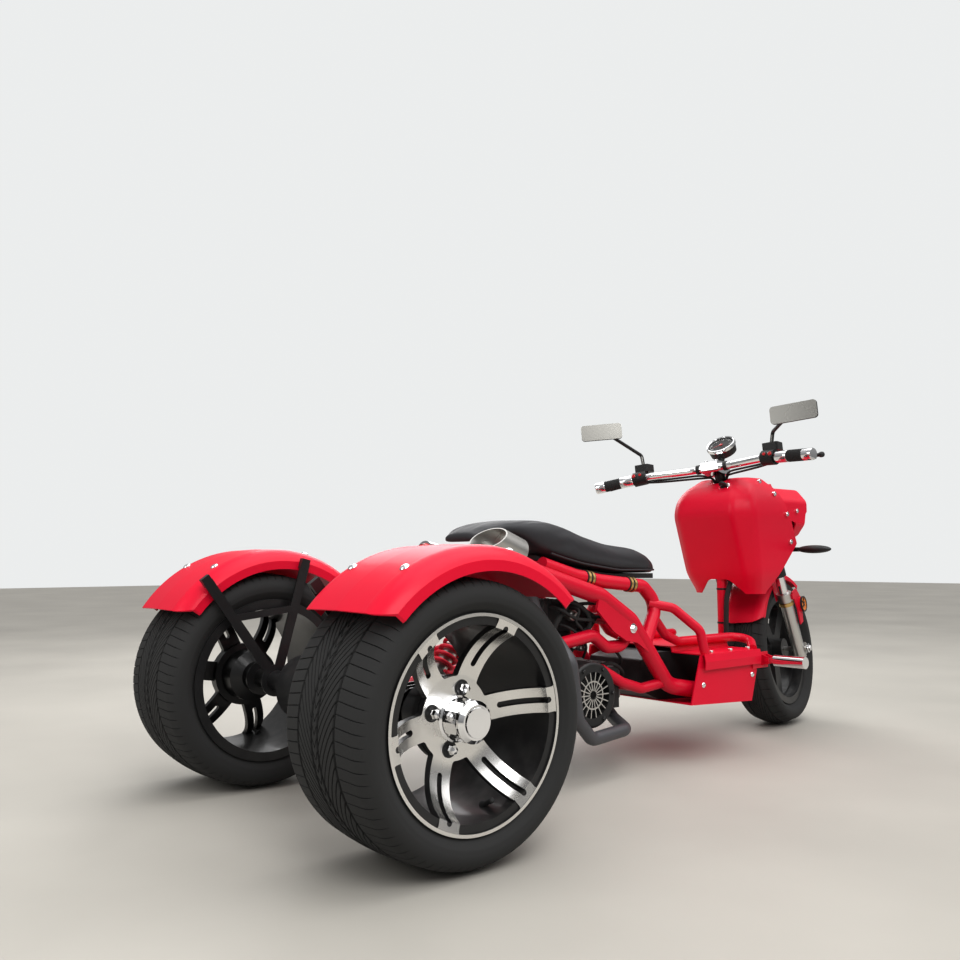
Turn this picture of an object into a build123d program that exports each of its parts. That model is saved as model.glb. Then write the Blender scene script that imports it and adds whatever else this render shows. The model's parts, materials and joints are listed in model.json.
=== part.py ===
"""Motor trike with two wide rear wheels, an open tube frame and a steered front fork.

Stations are in millimetres: X forward from the rear axle, Y to the rider's left, Z up from the ground.
The finished pieces are shifted so that the origin is the bottom centre of the whole trike.
The front end is drawn straight ahead and then turned to its parked angle.
"""

import os
from math import atan2, cos, degrees, hypot, radians, sin

from build123d import *

# Stance
WHEELBASE = 1720
HALF_TRACK = 400
RIGHT = -1
LEFT = 1
SIDES = (RIGHT, LEFT)

# Rear wheels
REAR_BEAD_R = 178
REAR_SIDEWALL = 81
REAR_R = REAR_BEAD_R + REAR_SIDEWALL
REAR_WIDTH = 270
LIP_HEIGHT = 15
REAR_RIM_HALF = 126
REAR_FACE = 55
REAR_SPOKES = 6
REAR_SPOKE_WIDTH = 47
REAR_SLOT_WIDTH = 11
REAR_SPOKE_PHASE = 8
RIM_WALL = 6
WEB = 16
LIP_RING = 6
LIP_STEP = 4

# Front wheel
FRONT_BEAD_R = 165
FRONT_SIDEWALL = 78
FRONT_R = FRONT_BEAD_R + FRONT_SIDEWALL
FRONT_WIDTH = 130
FRONT_RIM_HALF = 48
FRONT_SPOKES = 5
FRONT_SPOKE_WIDTH = 44
DISC_R = 100
DISC_THICK = 4
DISC_Y = 54

# Axles and running fits
REAR_SHAFT_R = 15
FRONT_AXLE_R = 7.5
RUN_FIT = 0.05
SEAT_GAP = 0.2
AXLE_TUBE_R = 24
AXLE_TUBE_END = 328

# Steering and fork
RAKE = 22.5
FORK_OFFSET = 35
LEG_LEAD = 22
LEG_HALF = 97
LOWER_R = 20
STANCHION_R = 15
LOWER_BOTTOM = -24
LOWER_TOP = 205
YOKE_LOW = 300
YOKE_HIGH = 328
STEM_R = 17
STEM_TOP = 655
HEAD_LOW = 372
HEAD_HIGH = 560
HEAD_R = 27
PARKED_STEER = 13.4

# Tube sizes
RAIL_D = 45
SEAT_RAIL_D = 37
GUARD_D = 26
CRADLE_D = 28
ARM_D = 33
DOWN_D = 32
CROSS_D = 36
PIPE_D = 33
BAR_D = 24

# Sheet thicknesses
SHELL = 3

# Half spacings of the frame's tubes
RAIL_Y = 140
SEAT_RAIL_Y = 108
ARM_Y = 130
SHOCK_Y = 178
GUARD_Y = 108

# Floor
FLOOR_Z = 300
SHELF_Z = 285
FLOOR_HALF = 218
FLOOR_BACK = 1052
FLOOR_FRONT = 1315
FLOOR_LIP = 42
DOWN_X = 1440

REAR_AXLE = Vector(0, 0, REAR_R)
FRONT_AXLE = Vector(WHEELBASE, 0, FRONT_R)
STEER_UP = Vector(-sin(radians(RAKE)), 0, cos(radians(RAKE)))
STEER_AHEAD = Vector(cos(radians(RAKE)), 0, sin(radians(RAKE)))
STEER_FOOT = FRONT_AXLE - STEER_AHEAD * FORK_OFFSET
STEER_AXIS = Axis(STEER_FOOT, STEER_UP)
REAR_AXIS = Axis(REAR_AXLE, (0, 1, 0))
FRONT_AXIS = Axis(FRONT_AXLE, (0, 1, 0))


def steer_point(height, lead=0.0, side=0.0):
    """Point given by its height along the steering axis, its lead ahead of it and its side."""
    return STEER_FOOT + STEER_UP * height + STEER_AHEAD * lead + Vector(0, side, 0)


def steer_plane(height, lead=0.0, side=0.0):
    """Plane square to the steering axis, its X pointing ahead."""
    return Plane(origin=steer_point(height, lead, side), x_dir=STEER_AHEAD, z_dir=STEER_UP)


def lathe_plane(centre, side):
    """Plane for a wheel's half section: X is the radius and Y points outboard."""
    return Plane(origin=centre, x_dir=(1, 0, 0), z_dir=(0, 0, side))


def face_plane(centre, side, out=0.0):
    """Plane across a wheel, its normal pointing outboard."""
    origin = Vector(centre) + Vector(0, side * out, 0)
    return Plane(origin=origin, x_dir=(1, 0, 0), z_dir=(0, side, 0))


def side_plane(y):
    """Upright plane along the trike at one Y, with X forward and Z up."""
    return Plane(origin=(0, y, 0), x_dir=(1, 0, 0), z_dir=(0, -1, 0))


def mirrored(route, side):
    """The route of a right hand tube, turned over for the left hand when side is LEFT."""
    return [(x, -side * y, z) for x, y, z in route]


def tube(route, bend, diameter):
    """Round tube along straight runs with bends of one radius."""
    with BuildLine() as path:
        if len(route) == 2:
            Line(*route)
        else:
            FilletPolyline(*route, radius=bend)
    with BuildPart() as bar:
        with BuildSketch(Plane(origin=path.line @ 0, z_dir=path.line % 0)):
            Circle(diameter / 2)
        sweep(path=path.line)
    return bar.part


def rod(start, end, radius):
    """Plain round bar between two points."""
    start = Vector(start)
    end = Vector(end)
    with BuildPart() as bar:
        with BuildSketch(Plane(origin=start, z_dir=end - start)):
            Circle(radius)
        extrude(amount=(end - start).length)
    return bar.part


def turned(plane, axis, outline):
    """Solid of revolution from a closed outline of (radius, offset) points."""
    with BuildPart() as lathe:
        with BuildSketch(plane):
            with BuildLine():
                Polyline(*outline, close=True)
            make_face()
        revolve(axis=axis)
    return lathe.part


def joined(pieces, cuts=()):
    """One node from several solids, with other solids cut away."""
    with BuildPart() as whole:
        for piece in pieces:
            add(piece)
        for cut in cuts:
            add(cut, mode=Mode.SUBTRACT)
    return whole.part


def strip(start, end, width):
    """Flat bar in the sketch plane between two points."""
    run = hypot(end[0] - start[0], end[1] - start[1])
    middle = ((start[0] + end[0]) / 2, (start[1] + end[1]) / 2)
    with Locations(middle):
        Rectangle(run, width, rotation=degrees(atan2(end[1] - start[1], end[0] - start[0])))


# Tyres

def tyre(plane, axis, radius, width, bead_r, rim_half, tread_share, crown_drop):
    """Tyre ring with a crowned tread, round shoulders and bulged sidewalls."""
    half = width / 2
    tread = half * tread_share
    edge_r = radius - crown_drop
    bulge_r = bead_r + (radius - bead_r) * 0.55
    lip_r = bead_r + (radius - bead_r) * 0.2
    bead_half = rim_half - RIM_WALL - SEAT_GAP
    shoulder = ((edge_r * 0.62 + bulge_r * 0.38), (tread * 0.22 + half * 0.78))
    flank = ((bulge_r + lip_r) / 2 - 1, half * 0.84 + bead_half * 0.16)
    with BuildPart() as ring:
        with BuildSketch(plane):
            with BuildLine():
                ThreePointArc((radius, 0), (radius - crown_drop / 4, tread / 2), (edge_r, tread))
                ThreePointArc((edge_r, tread), shoulder, (bulge_r, half))
                ThreePointArc((bulge_r, half), flank, (lip_r, bead_half))
                Line((lip_r, bead_half), (bead_r + SEAT_GAP, bead_half))
                Line((bead_r + SEAT_GAP, bead_half), (bead_r + SEAT_GAP, 0))
                mirror(about=Plane.XZ)
            make_face()
        revolve(axis=axis)
    return ring.part


def rim_barrel(bead_r, half):
    """Closed outline of a rim barrel with a lip at each edge, its outboard face sunk inside a thin ring."""
    lip_r = bead_r + LIP_HEIGHT
    return [
        (bead_r - RIM_WALL, -half),
        (lip_r, -half),
        (lip_r, -half + RIM_WALL),
        (bead_r, -half + RIM_WALL),
        (bead_r, half - RIM_WALL),
        (lip_r, half - RIM_WALL),
        (lip_r, half),
        (lip_r - LIP_RING, half),
        (lip_r - LIP_RING, half - LIP_STEP),
        (bead_r - RIM_WALL, half - LIP_STEP - 1),
    ]


def arch_plane(centre, angle):
    """Half section plane of an arched sheet: X is the radius at one angle and Y runs across."""
    turn = radians(angle)
    return Plane(origin=centre, x_dir=(cos(turn), 0, sin(turn)), z_dir=(-sin(turn), 0, cos(turn)))


def end_trim(centre, radius, angle, half, corner, inward):
    """Solid that rounds the two corners of an arched sheet's end.

    The sheet runs on to larger angles where inward is 1, and to smaller ones where it is -1.
    """
    out = Vector(cos(radians(angle)), 0, sin(radians(angle)))
    with BuildPart() as trim:
        with BuildSketch(Plane(origin=centre + out * radius, x_dir=(0, 1, 0), z_dir=out)):
            Rectangle(half * 2 + 20, corner * 2)
            with Locations((0, inward * corner * 2)):
                RectangleRounded(half * 2 + 12, corner * 4, corner, mode=Mode.SUBTRACT)
        extrude(amount=corner + 30, both=True)
    return trim.part


# Rear wheels: dished face with six twin prong spokes

HUB_PAD_R = 78
HUB_HOLE_R = 20
WINDOW_IN_R = 76
SLOT_IN_R = 98
CAP_R = 38
CAP_OUT = 120
DRUM_R = 77


def rear_rim(side):
    """Rear rim: barrel, concave spoke web, windows between spokes and a slot in each spoke."""
    centre = REAR_AXLE + Vector(0, side * HALF_TRACK, 0)
    plane = lathe_plane(centre, side)
    web_r = REAR_BEAD_R + LIP_HEIGHT - LIP_RING
    wall_r = REAR_BEAD_R - RIM_WALL / 2
    window_r = web_r + 2
    face_edge = REAR_RIM_HALF - 1
    seat_edge = REAR_RIM_HALF - RIM_WALL
    tip = (REAR_BEAD_R - RIM_WALL - 2, seat_edge + 1)
    middle_r = (HUB_PAD_R + tip[0]) / 2 + 12
    with BuildPart() as rim:
        with BuildSketch(plane):
            with BuildLine():
                Line((HUB_HOLE_R, REAR_FACE), (HUB_PAD_R, REAR_FACE))
                ThreePointArc((HUB_PAD_R, REAR_FACE), (middle_r, REAR_FACE + 21), tip)
                Polyline(
                    tip, (web_r, face_edge), (web_r, seat_edge), (wall_r, seat_edge), (wall_r, tip[1] - WEB)
                )
                ThreePointArc(
                    (wall_r, tip[1] - WEB), (middle_r, REAR_FACE + 21 - WEB), (HUB_PAD_R, REAR_FACE - WEB)
                )
                Line((HUB_PAD_R, REAR_FACE - WEB), (HUB_HOLE_R, REAR_FACE - WEB))
                Line((HUB_HOLE_R, REAR_FACE - WEB), (HUB_HOLE_R, REAR_FACE))
            make_face()
        revolve(axis=REAR_AXIS)
        with BuildSketch(face_plane(centre, side)) as windows:
            Circle(window_r)
            Circle(WINDOW_IN_R, mode=Mode.SUBTRACT)
            with PolarLocations(0, REAR_SPOKES, start_angle=REAR_SPOKE_PHASE):
                with Locations((window_r / 2, 0)):
                    Rectangle(window_r * 1.2, REAR_SPOKE_WIDTH, mode=Mode.SUBTRACT)
            fillet(windows.vertices(), radius=6)
        extrude(amount=REAR_RIM_HALF, mode=Mode.SUBTRACT)
        with BuildSketch(face_plane(centre, side)):
            with PolarLocations((SLOT_IN_R + REAR_BEAD_R) / 2, REAR_SPOKES, start_angle=REAR_SPOKE_PHASE):
                SlotOverall(REAR_BEAD_R - SLOT_IN_R, REAR_SLOT_WIDTH)
        extrude(amount=REAR_RIM_HALF, mode=Mode.SUBTRACT)
        with BuildSketch(plane):
            with BuildLine():
                Polyline(*rim_barrel(REAR_BEAD_R, REAR_RIM_HALF), close=True)
            make_face()
        revolve(axis=REAR_AXIS)
    return rim.part


def rear_hub(side):
    """Hub that runs on the axle shaft: sleeve, wheel flange and a stepped brake drum."""
    plane = lathe_plane(REAR_AXLE + Vector(0, side * HALF_TRACK, 0), side)
    bore = REAR_SHAFT_R + RUN_FIT
    back = REAR_FACE - WEB
    inner = AXLE_TUBE_END + 6 - HALF_TRACK
    outline = [
        (bore, inner),
        (36, inner),
        (36, inner + 26),
        (62, inner + 40),
        (62, back - 16),
        (DRUM_R, back - 14),
        (DRUM_R, back),
        (bore, back),
    ]
    return turned(plane, REAR_AXIS, outline)


def wheel_cap(side):
    """Chrome centre cap standing on the wheel face."""
    plane = lathe_plane(REAR_AXLE + Vector(0, side * HALF_TRACK, 0), side)
    outline = [
        (0, REAR_FACE),
        (CAP_R + 4, REAR_FACE),
        (CAP_R + 4, REAR_FACE + 7),
        (CAP_R, REAR_FACE + 10),
        (CAP_R, CAP_OUT - 9),
        (CAP_R - 7, CAP_OUT - 2),
        (0, CAP_OUT),
    ]
    return turned(plane, REAR_AXIS, outline)


rear_tyres = {
    side: tyre(
        lathe_plane(REAR_AXLE + Vector(0, side * HALF_TRACK, 0), side),
        REAR_AXIS, REAR_R, REAR_WIDTH, REAR_BEAD_R, REAR_RIM_HALF, 0.74, 6,
    )
    for side in SIDES
}
rear_rims = {side: rear_rim(side) for side in SIDES}
rear_hubs = {side: rear_hub(side) for side in SIDES}
wheel_caps = {side: wheel_cap(side) for side in SIDES}

# Front wheel: broad spokes, with the brake disc on the left

FRONT_HUB_R = 34
FRONT_HUB_HALF = 46
FRONT_WEB = 26


with BuildPart() as front_rim:
    with BuildSketch(face_plane(FRONT_AXLE, LEFT, -FRONT_WEB / 2)):
        Circle(FRONT_BEAD_R - RIM_WALL / 2)
    extrude(amount=FRONT_WEB)
    with BuildSketch(face_plane(FRONT_AXLE, LEFT, -FRONT_WEB)) as front_windows:
        Circle(FRONT_BEAD_R - RIM_WALL - 5)
        Circle(FRONT_HUB_R + 12, mode=Mode.SUBTRACT)
        with PolarLocations(0, FRONT_SPOKES, start_angle=18):
            with Locations((FRONT_BEAD_R / 2, 0)):
                Rectangle(FRONT_BEAD_R * 1.2, FRONT_SPOKE_WIDTH, mode=Mode.SUBTRACT)
        fillet(front_windows.vertices(), radius=8)
    extrude(amount=FRONT_WEB * 2, mode=Mode.SUBTRACT)
    with BuildSketch(lathe_plane(FRONT_AXLE, LEFT)):
        with BuildLine():
            Polyline(*rim_barrel(FRONT_BEAD_R, FRONT_RIM_HALF), close=True)
        make_face()
    revolve(axis=FRONT_AXIS)
    with BuildSketch(face_plane(FRONT_AXLE, LEFT, -FRONT_HUB_HALF)):
        Circle(FRONT_HUB_R)
    extrude(amount=FRONT_HUB_HALF + DISC_Y)
    with BuildSketch(face_plane(FRONT_AXLE, LEFT, -FRONT_HUB_HALF)):
        Circle(FRONT_AXLE_R + RUN_FIT)
    extrude(amount=FRONT_HUB_HALF * 3, mode=Mode.SUBTRACT)

front_tyre = tyre(
    lathe_plane(FRONT_AXLE, LEFT), FRONT_AXIS, FRONT_R, FRONT_WIDTH, FRONT_BEAD_R, FRONT_RIM_HALF, 0.72, 13
)

with BuildPart() as brake_disc:
    with BuildSketch(face_plane(FRONT_AXLE, LEFT, DISC_Y)):
        Circle(DISC_R)
        Circle(FRONT_AXLE_R + 6, mode=Mode.SUBTRACT)
        with PolarLocations(52, 6):
            Circle(12, mode=Mode.SUBTRACT)
    extrude(amount=DISC_THICK)

# Fork, drawn straight ahead

LOWER_LEGS = []
for side in SIDES:
    with BuildPart() as leg:
        with BuildSketch(steer_plane(LOWER_BOTTOM, LEG_LEAD, side * LEG_HALF)):
            Circle(LOWER_R)
        extrude(amount=LOWER_TOP - LOWER_BOTTOM)
        with BuildSketch(steer_plane(LOWER_TOP, LEG_LEAD, side * LEG_HALF)):
            Circle(LOWER_R + 4)
        extrude(amount=-26)
        with BuildSketch(face_plane(FRONT_AXLE, side, LEG_HALF - 14)):
            Circle(19)
        extrude(amount=34)
    LOWER_LEGS.append(leg.part)

AXLE_REACH = Vector(0, LEG_HALF + 28, 0)
front_axle_bar = rod(FRONT_AXLE - AXLE_REACH, FRONT_AXLE + AXLE_REACH, FRONT_AXLE_R)
fork_lowers = joined(LOWER_LEGS + [front_axle_bar])

stanchions = []
for side in SIDES:
    stanchion_low = steer_point(LOWER_TOP, LEG_LEAD, side * LEG_HALF)
    stanchion_top = steer_point(YOKE_LOW, LEG_LEAD, side * LEG_HALF)
    stanchions.append(rod(stanchion_low, stanchion_top, STANCHION_R))
fork_tubes = joined(stanchions)

with BuildPart() as fork_yoke:
    with BuildSketch(steer_plane(YOKE_LOW, LEG_LEAD / 2)):
        SlotCenterToCenter(LEG_HALF * 2, 50, rotation=90)
    extrude(amount=YOKE_HIGH - YOKE_LOW)
    for side in SIDES:
        with BuildSketch(steer_plane(YOKE_LOW - 34, LEG_LEAD, side * LEG_HALF)):
            Circle(STANCHION_R + 8)
            Circle(STANCHION_R, mode=Mode.SUBTRACT)
        extrude(amount=34)
    with BuildSketch(steer_plane(YOKE_HIGH)):
        Circle(STEM_R + 8)
    extrude(amount=HEAD_LOW - YOKE_HIGH - 6)
    with BuildSketch(steer_plane(YOKE_HIGH)):
        Circle(STEM_R)
    extrude(amount=STEM_TOP - YOKE_HIGH)

FENDER_R = FRONT_R + 12
FENDER_HALF = 70
FENDER_LOW = FRONT_R - 14
FENDER_FROM = 53
FENDER_TO = 157
FENDER_CORNER = 50

with BuildPart() as front_fender:
    with BuildSketch(arch_plane(FRONT_AXLE, FENDER_FROM)):
        with BuildLine():
            Line((FENDER_LOW, FENDER_HALF), (FENDER_R - 14, FENDER_HALF))
            ThreePointArc(
                (FENDER_R - 14, FENDER_HALF), (FENDER_R - 3, FENDER_HALF - 14), (FENDER_R, FENDER_HALF - 34)
            )
            Line((FENDER_R, FENDER_HALF - 34), (FENDER_R, 0))
            Line((FENDER_R - SHELL, 0), (FENDER_R - SHELL, FENDER_HALF - 34))
            ThreePointArc(
                (FENDER_R - SHELL, FENDER_HALF - 34),
                (FENDER_R - SHELL - 3, FENDER_HALF - 16),
                (FENDER_R - SHELL - 14, FENDER_HALF - SHELL),
            )
            Line((FENDER_R - SHELL - 14, FENDER_HALF - SHELL), (FENDER_LOW, FENDER_HALF - SHELL))
            Line((FENDER_LOW, FENDER_HALF - SHELL), (FENDER_LOW, FENDER_HALF))
            mirror(about=Plane.XZ)
        make_face()
    revolve(axis=Axis(FRONT_AXLE, (0, -1, 0)), revolution_arc=FENDER_TO - FENDER_FROM)
    add(end_trim(FRONT_AXLE, FENDER_R, FENDER_FROM, FENDER_HALF, FENDER_CORNER, 1), mode=Mode.SUBTRACT)
    add(end_trim(FRONT_AXLE, FENDER_R, FENDER_TO, FENDER_HALF, FENDER_CORNER, -1), mode=Mode.SUBTRACT)
    for side in SIDES:
        with BuildSketch(side_plane(side * FENDER_HALF)):
            low = steer_point(LOWER_TOP - 22, LEG_LEAD)
            high = steer_point(FENDER_R - 14, LEG_LEAD)
            strip((low.X, low.Z), (high.X, high.Z), 30)
        extrude(amount=side * -SHELL)

reflector_plates = []
for side in SIDES:
    with BuildPart() as plate:
        with BuildSketch(side_plane(side * (LEG_HALF + LOWER_R + 5))):
            with BuildLine():
                Polyline(
                    (1628, 428), (1668, 440), (1712, 402), (1700, 330), (1676, 322), (1664, 372), close=True
                )
            make_face()
        extrude(amount=side * -4)
        with BuildSketch(side_plane(side * (LEG_HALF + LOWER_R + 5))):
            with Locations((1700, 388)):
                Circle(25)
        extrude(amount=side * -13)
        with BuildSketch(steer_plane(LOWER_TOP - 22, LEG_LEAD, side * LEG_HALF)):
            with Locations((4, side * (LOWER_R + 4))):
                Rectangle(22, 10)
        extrude(amount=16)
        add(fork_lowers, mode=Mode.SUBTRACT)
    reflector_plates.append(plate.part)
reflector_brackets = joined(reflector_plates)

with BuildPart() as brake_caliper:
    with BuildSketch(face_plane(FRONT_AXLE, LEFT, DISC_Y - 14)):
        with Locations(Location((-78, -52, 0), 33.7)):
            RectangleRounded(46, 74, 12)
    extrude(amount=32)
    with BuildSketch(face_plane(FRONT_AXLE, LEFT, DISC_Y - 3)):
        Circle(DISC_R + 3)
    extrude(amount=DISC_THICK + 6, mode=Mode.SUBTRACT)
    with BuildSketch(face_plane(FRONT_AXLE, LEFT, DISC_Y + 12)):
        with Locations(Location((-60, -66, 0), 33.7)):
            Rectangle(60, 30)
    extrude(amount=LEG_HALF - LOWER_R - DISC_Y - 8)
    add(fork_lowers, mode=Mode.SUBTRACT)

# Handlebar and what it carries

BAR_X = 1389
BAR_Z = 839
GRIP_END = (1272, 352, 814)
SWITCH_Y = 205
bar_route = [
    (GRIP_END[0], -GRIP_END[1], GRIP_END[2]),
    (1322, -190, 833),
    (BAR_X, -62, BAR_Z),
    (BAR_X, 62, BAR_Z),
    (1322, 190, 833),
    GRIP_END,
]
handlebar_tube = tube(bar_route, 60, BAR_D)

with BuildPart() as riser:
    with BuildSketch(side_plane(28)):
        with BuildLine():
            Polyline((1366, 858), (1366, 824), (1412, 817), (1462, 817), (1470, 836), (1412, 858), close=True)
        make_face()
    extrude(amount=56)
    fillet(riser.edges().filter_by(Axis.Y), radius=8)
    add(fork_yoke.part, mode=Mode.SUBTRACT)
handlebar = joined([handlebar_tube, riser.part], [fork_yoke.part])


def bar_span(side, inner, outer):
    """Two points on the outer straight run of the bar, by distance in from its end."""
    end = Vector(GRIP_END[0], side * GRIP_END[1], GRIP_END[2])
    bend = Vector(1322, side * 190, 833)
    along = (bend - end).normalized()
    return end + along * inner, end + along * outer


GRIP_LENGTH = 118
GRIP_R = 17
grips = joined(
    [rod(*bar_span(side, -8, GRIP_LENGTH), GRIP_R) for side in SIDES], [handlebar_tube]
)

switch_bodies = []
for side in SIDES:
    near, far = bar_span(side, GRIP_LENGTH + 2, GRIP_LENGTH + 44)
    reservoir_at = near + (far - near) * 0.5 + Vector(34, 0, 24)
    with BuildPart() as housing:
        add(rod(near, far, 23))
        with BuildSketch(Plane(origin=reservoir_at, x_dir=(1, 0, 0), z_dir=(0, 0, 1))):
            RectangleRounded(50, 48, 6)
        extrude(amount=24)
        with BuildSketch(Plane(origin=reservoir_at + Vector(-10, 0, 0), x_dir=(1, 0, 0), z_dir=(0, 0, 1))):
            Rectangle(24, 24)
        extrude(amount=-26)
        add(handlebar_tube, mode=Mode.SUBTRACT)
    lever_from = near + Vector(58, side * -8, 4)
    lever_to = Vector(GRIP_END[0] + 62, side * (GRIP_END[1] - 6), GRIP_END[2] - 2)
    switch_bodies.append(housing.part)
    switch_bodies.append(rod(lever_from + Vector(-32, 0, 0), lever_from, 6))
    switch_bodies.append(rod(lever_from, lever_to, 5.5))
switch_housings = joined(switch_bodies, [handlebar_tube, grips])

MIRRORS = (
    # side, head centre x, y, z, facing x, y
    (RIGHT, 1188, -345, 928, -1, -0.05),
    (LEFT, 1222, 296, 990, -0.85, -0.52),
)
MIRROR_W = 132
MIRROR_H = 52
MIRROR_T = 13
mirror_bodies = []
for side, head_x, head_y, head_z, facing_x, facing_y in MIRRORS:
    near, far = bar_span(side, GRIP_LENGTH + 2, GRIP_LENGTH + 44)
    foot = near + (far - near) * 0.5 + Vector(30, 0, 48)
    head = Vector(head_x, head_y, head_z)
    facing = Vector(facing_x, facing_y, 0.06).normalized()
    along = Vector(facing_y, -facing_x, 0).normalized()
    with BuildPart() as mirror_head:
        with BuildSketch(Plane(origin=head, x_dir=along, z_dir=facing)):
            RectangleRounded(MIRROR_W, MIRROR_H, 10)
        extrude(amount=-MIRROR_T)
        fillet(mirror_head.faces().sort_by(Axis(head, facing))[0].edges(), radius=5)
    elbow = foot + Vector(4, side * 6, 34)
    joint = head - facing * (MIRROR_T - 3) - along * (side * 20) - Vector(0, 0, 6)
    stalk = tube([foot, elbow, joint], 12, 11)
    mirror_bodies.append(joined([mirror_head.part, stalk], [switch_housings]))
mirrors = joined(mirror_bodies)

GAUGE_AT = Vector(1478, 0, 926)
GAUGE_FACE = Vector(-0.62, 0, 0.78)
with BuildPart() as gauge:
    with BuildSketch(Plane(origin=GAUGE_AT, x_dir=(0, 1, 0), z_dir=GAUGE_FACE)):
        Circle(47)
    extrude(amount=-34, taper=8)
    with BuildSketch(Plane(origin=GAUGE_AT, x_dir=(0, 1, 0), z_dir=GAUGE_FACE)):
        Circle(42)
    extrude(amount=-3, mode=Mode.SUBTRACT)
    add(rod((1440, 0, 822), GAUGE_AT - GAUGE_FACE.normalized() * 20, 11))
    add(handlebar, mode=Mode.SUBTRACT)
    add(fork_yoke.part, mode=Mode.SUBTRACT)

# Frame tubes

RAIL_ROUTE = [
    (322, -RAIL_Y, 472),
    (490, -RAIL_Y, 516),
    (721, -RAIL_Y, 452),
    (836, -RAIL_Y, 385),
    (985, -RAIL_Y, 200),
    (1060, -RAIL_Y - 38, 186),
    (1300, -RAIL_Y - 38, 190),
    (1400, -40, 232),
]
rails = [tube(mirrored(RAIL_ROUTE, side), 60, RAIL_D) for side in SIDES]
REAR_CROSS = (322, 472)
SHOCK_PIN_R = 8


def across(station, half, radius):
    """Round bar across the trike at one (X, Z) station."""
    return rod((station[0], -half, station[1]), (station[0], half, station[1]), radius)


rear_cross = across(REAR_CROSS, RAIL_Y + 20, CROSS_D / 2)
shock_pins = [across(REAR_CROSS, SHOCK_Y + 20, SHOCK_PIN_R)]
foot_cross = rod((1400, -62, 232), (1400, 62, 232), RAIL_D / 2)
mid_cross = rod((836, -RAIL_Y, 385), (836, RAIL_Y, 385), 15)
frame_rails = joined(rails + [rear_cross, foot_cross, mid_cross] + shock_pins)

SEAT_RAIL_ROUTE = [
    (545, -SEAT_RAIL_Y, 536),
    (661, -SEAT_RAIL_Y, 505),
    (754, -SEAT_RAIL_Y, 490),
    (925, -SEAT_RAIL_Y, 474),
    (985, -SEAT_RAIL_Y, 420),
    (893, -RAIL_Y, 317),
]
seat_rail_tubes = [tube(mirrored(SEAT_RAIL_ROUTE, side), 42, SEAT_RAIL_D) for side in SIDES]
seat_cross = rod((560, -SEAT_RAIL_Y, 532), (560, SEAT_RAIL_Y, 532), 14)
seat_rails = joined(seat_rail_tubes + [seat_cross], [frame_rails])

head_tube = rod(steer_point(HEAD_LOW), steer_point(HEAD_HIGH), HEAD_R)
stem_bore = rod(steer_point(HEAD_LOW - 1), steer_point(HEAD_HIGH + 1), STEM_R + RUN_FIT)
DOWN_ROUTE = [(1400, 0, 232), (DOWN_X, 0, 300), (DOWN_X, 0, 512), steer_point(HEAD_LOW + 80)]
down_tube = tube([tuple(p) for p in DOWN_ROUTE], 60, DOWN_D)
frame_spine = joined([head_tube, down_tube], [frame_rails, stem_bore])

GUSSET_Y = RAIL_Y + 11
GUSSET_THICK = 8
gusset_plates = []
for side in SIDES:
    with BuildPart() as gusset:
        with BuildSketch(side_plane(side * GUSSET_Y)):
            with BuildLine():
                Polyline(
                    (700, 452), (836, 385), (922, 290), (885, 300),
                    (843, 326), (800, 334), (752, 360), (690, 418), close=True,
                )
            make_face()
        extrude(amount=side * -GUSSET_THICK)
        add(frame_rails, mode=Mode.SUBTRACT)
        add(seat_rails, mode=Mode.SUBTRACT)
    gusset_plates.append(gusset.part)
frame_gussets = joined(gusset_plates)

GUARD_ROUTES = (
    # bend radius, route of the right hand tube
    (38, [(950, -SEAT_RAIL_Y, 425), (1005, -150, 412), (1058, -200, 350), (1072, -204, SHELF_Z)]),
    (34, [(962, -SEAT_RAIL_Y, 396), (1020, -GUARD_Y, 334), (1075, -GUARD_Y, 313), (1322, -GUARD_Y, 313),
          (1366, -150, 309), (1300, -202, SHELF_Z)]),
)
guard_tubes = [
    tube(mirrored(route, side), bend, GUARD_D) for bend, route in GUARD_ROUTES for side in SIDES
]
floor_cut = Pos(1200, 0, SHELF_Z - 50) * Box(600, 600, 100)
floor_guards = joined(guard_tubes, [frame_rails, seat_rails, floor_cut])

CRADLE_ROUTE = [(742, -118, 262), (812, -128, 222), (884, -132, 200), (985, -RAIL_Y, 212)]
cradle_sides = [tube(mirrored(CRADLE_ROUTE, side), 40, CRADLE_D) for side in SIDES]
cradle_cross = rod((884, -132, 200), (884, 132, 200), 10)
cradle_tubes = joined(cradle_sides + [cradle_cross], [frame_rails])

# Floor

with BuildPart() as floorboard:
    with BuildSketch(Plane(origin=(FLOOR_BACK, 0, 0), x_dir=(0, 1, 0), z_dir=(1, 0, 0))):
        with BuildLine():
            Polyline(
                (0, FLOOR_Z), (GUARD_Y - 6, FLOOR_Z), (GUARD_Y - 2, SHELF_Z), (FLOOR_HALF, SHELF_Z),
                (FLOOR_HALF + 4, SHELF_Z - 20), (FLOOR_HALF + 2, SHELF_Z - FLOOR_LIP),
                (FLOOR_HALF - 1, SHELF_Z - FLOOR_LIP), (FLOOR_HALF + 1, SHELF_Z - 20),
                (FLOOR_HALF - 3, SHELF_Z - SHELL), (GUARD_Y - 5, SHELF_Z - SHELL),
                (GUARD_Y - 9, FLOOR_Z - SHELL), (0, FLOOR_Z - SHELL), close=True,
            )
        make_face()
        mirror(about=Plane.YZ)
    extrude(amount=FLOOR_FRONT - FLOOR_BACK)
    with BuildSketch(Plane.XY.offset(FLOOR_Z - SHELL)):
        with BuildLine():
            Polyline(
                (FLOOR_FRONT, -GUARD_Y + 7), (1404, -62), (1404, 62), (FLOOR_FRONT, GUARD_Y - 7), close=True
            )
        make_face()
    extrude(amount=SHELL)
    add(floor_guards, mode=Mode.SUBTRACT)

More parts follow.
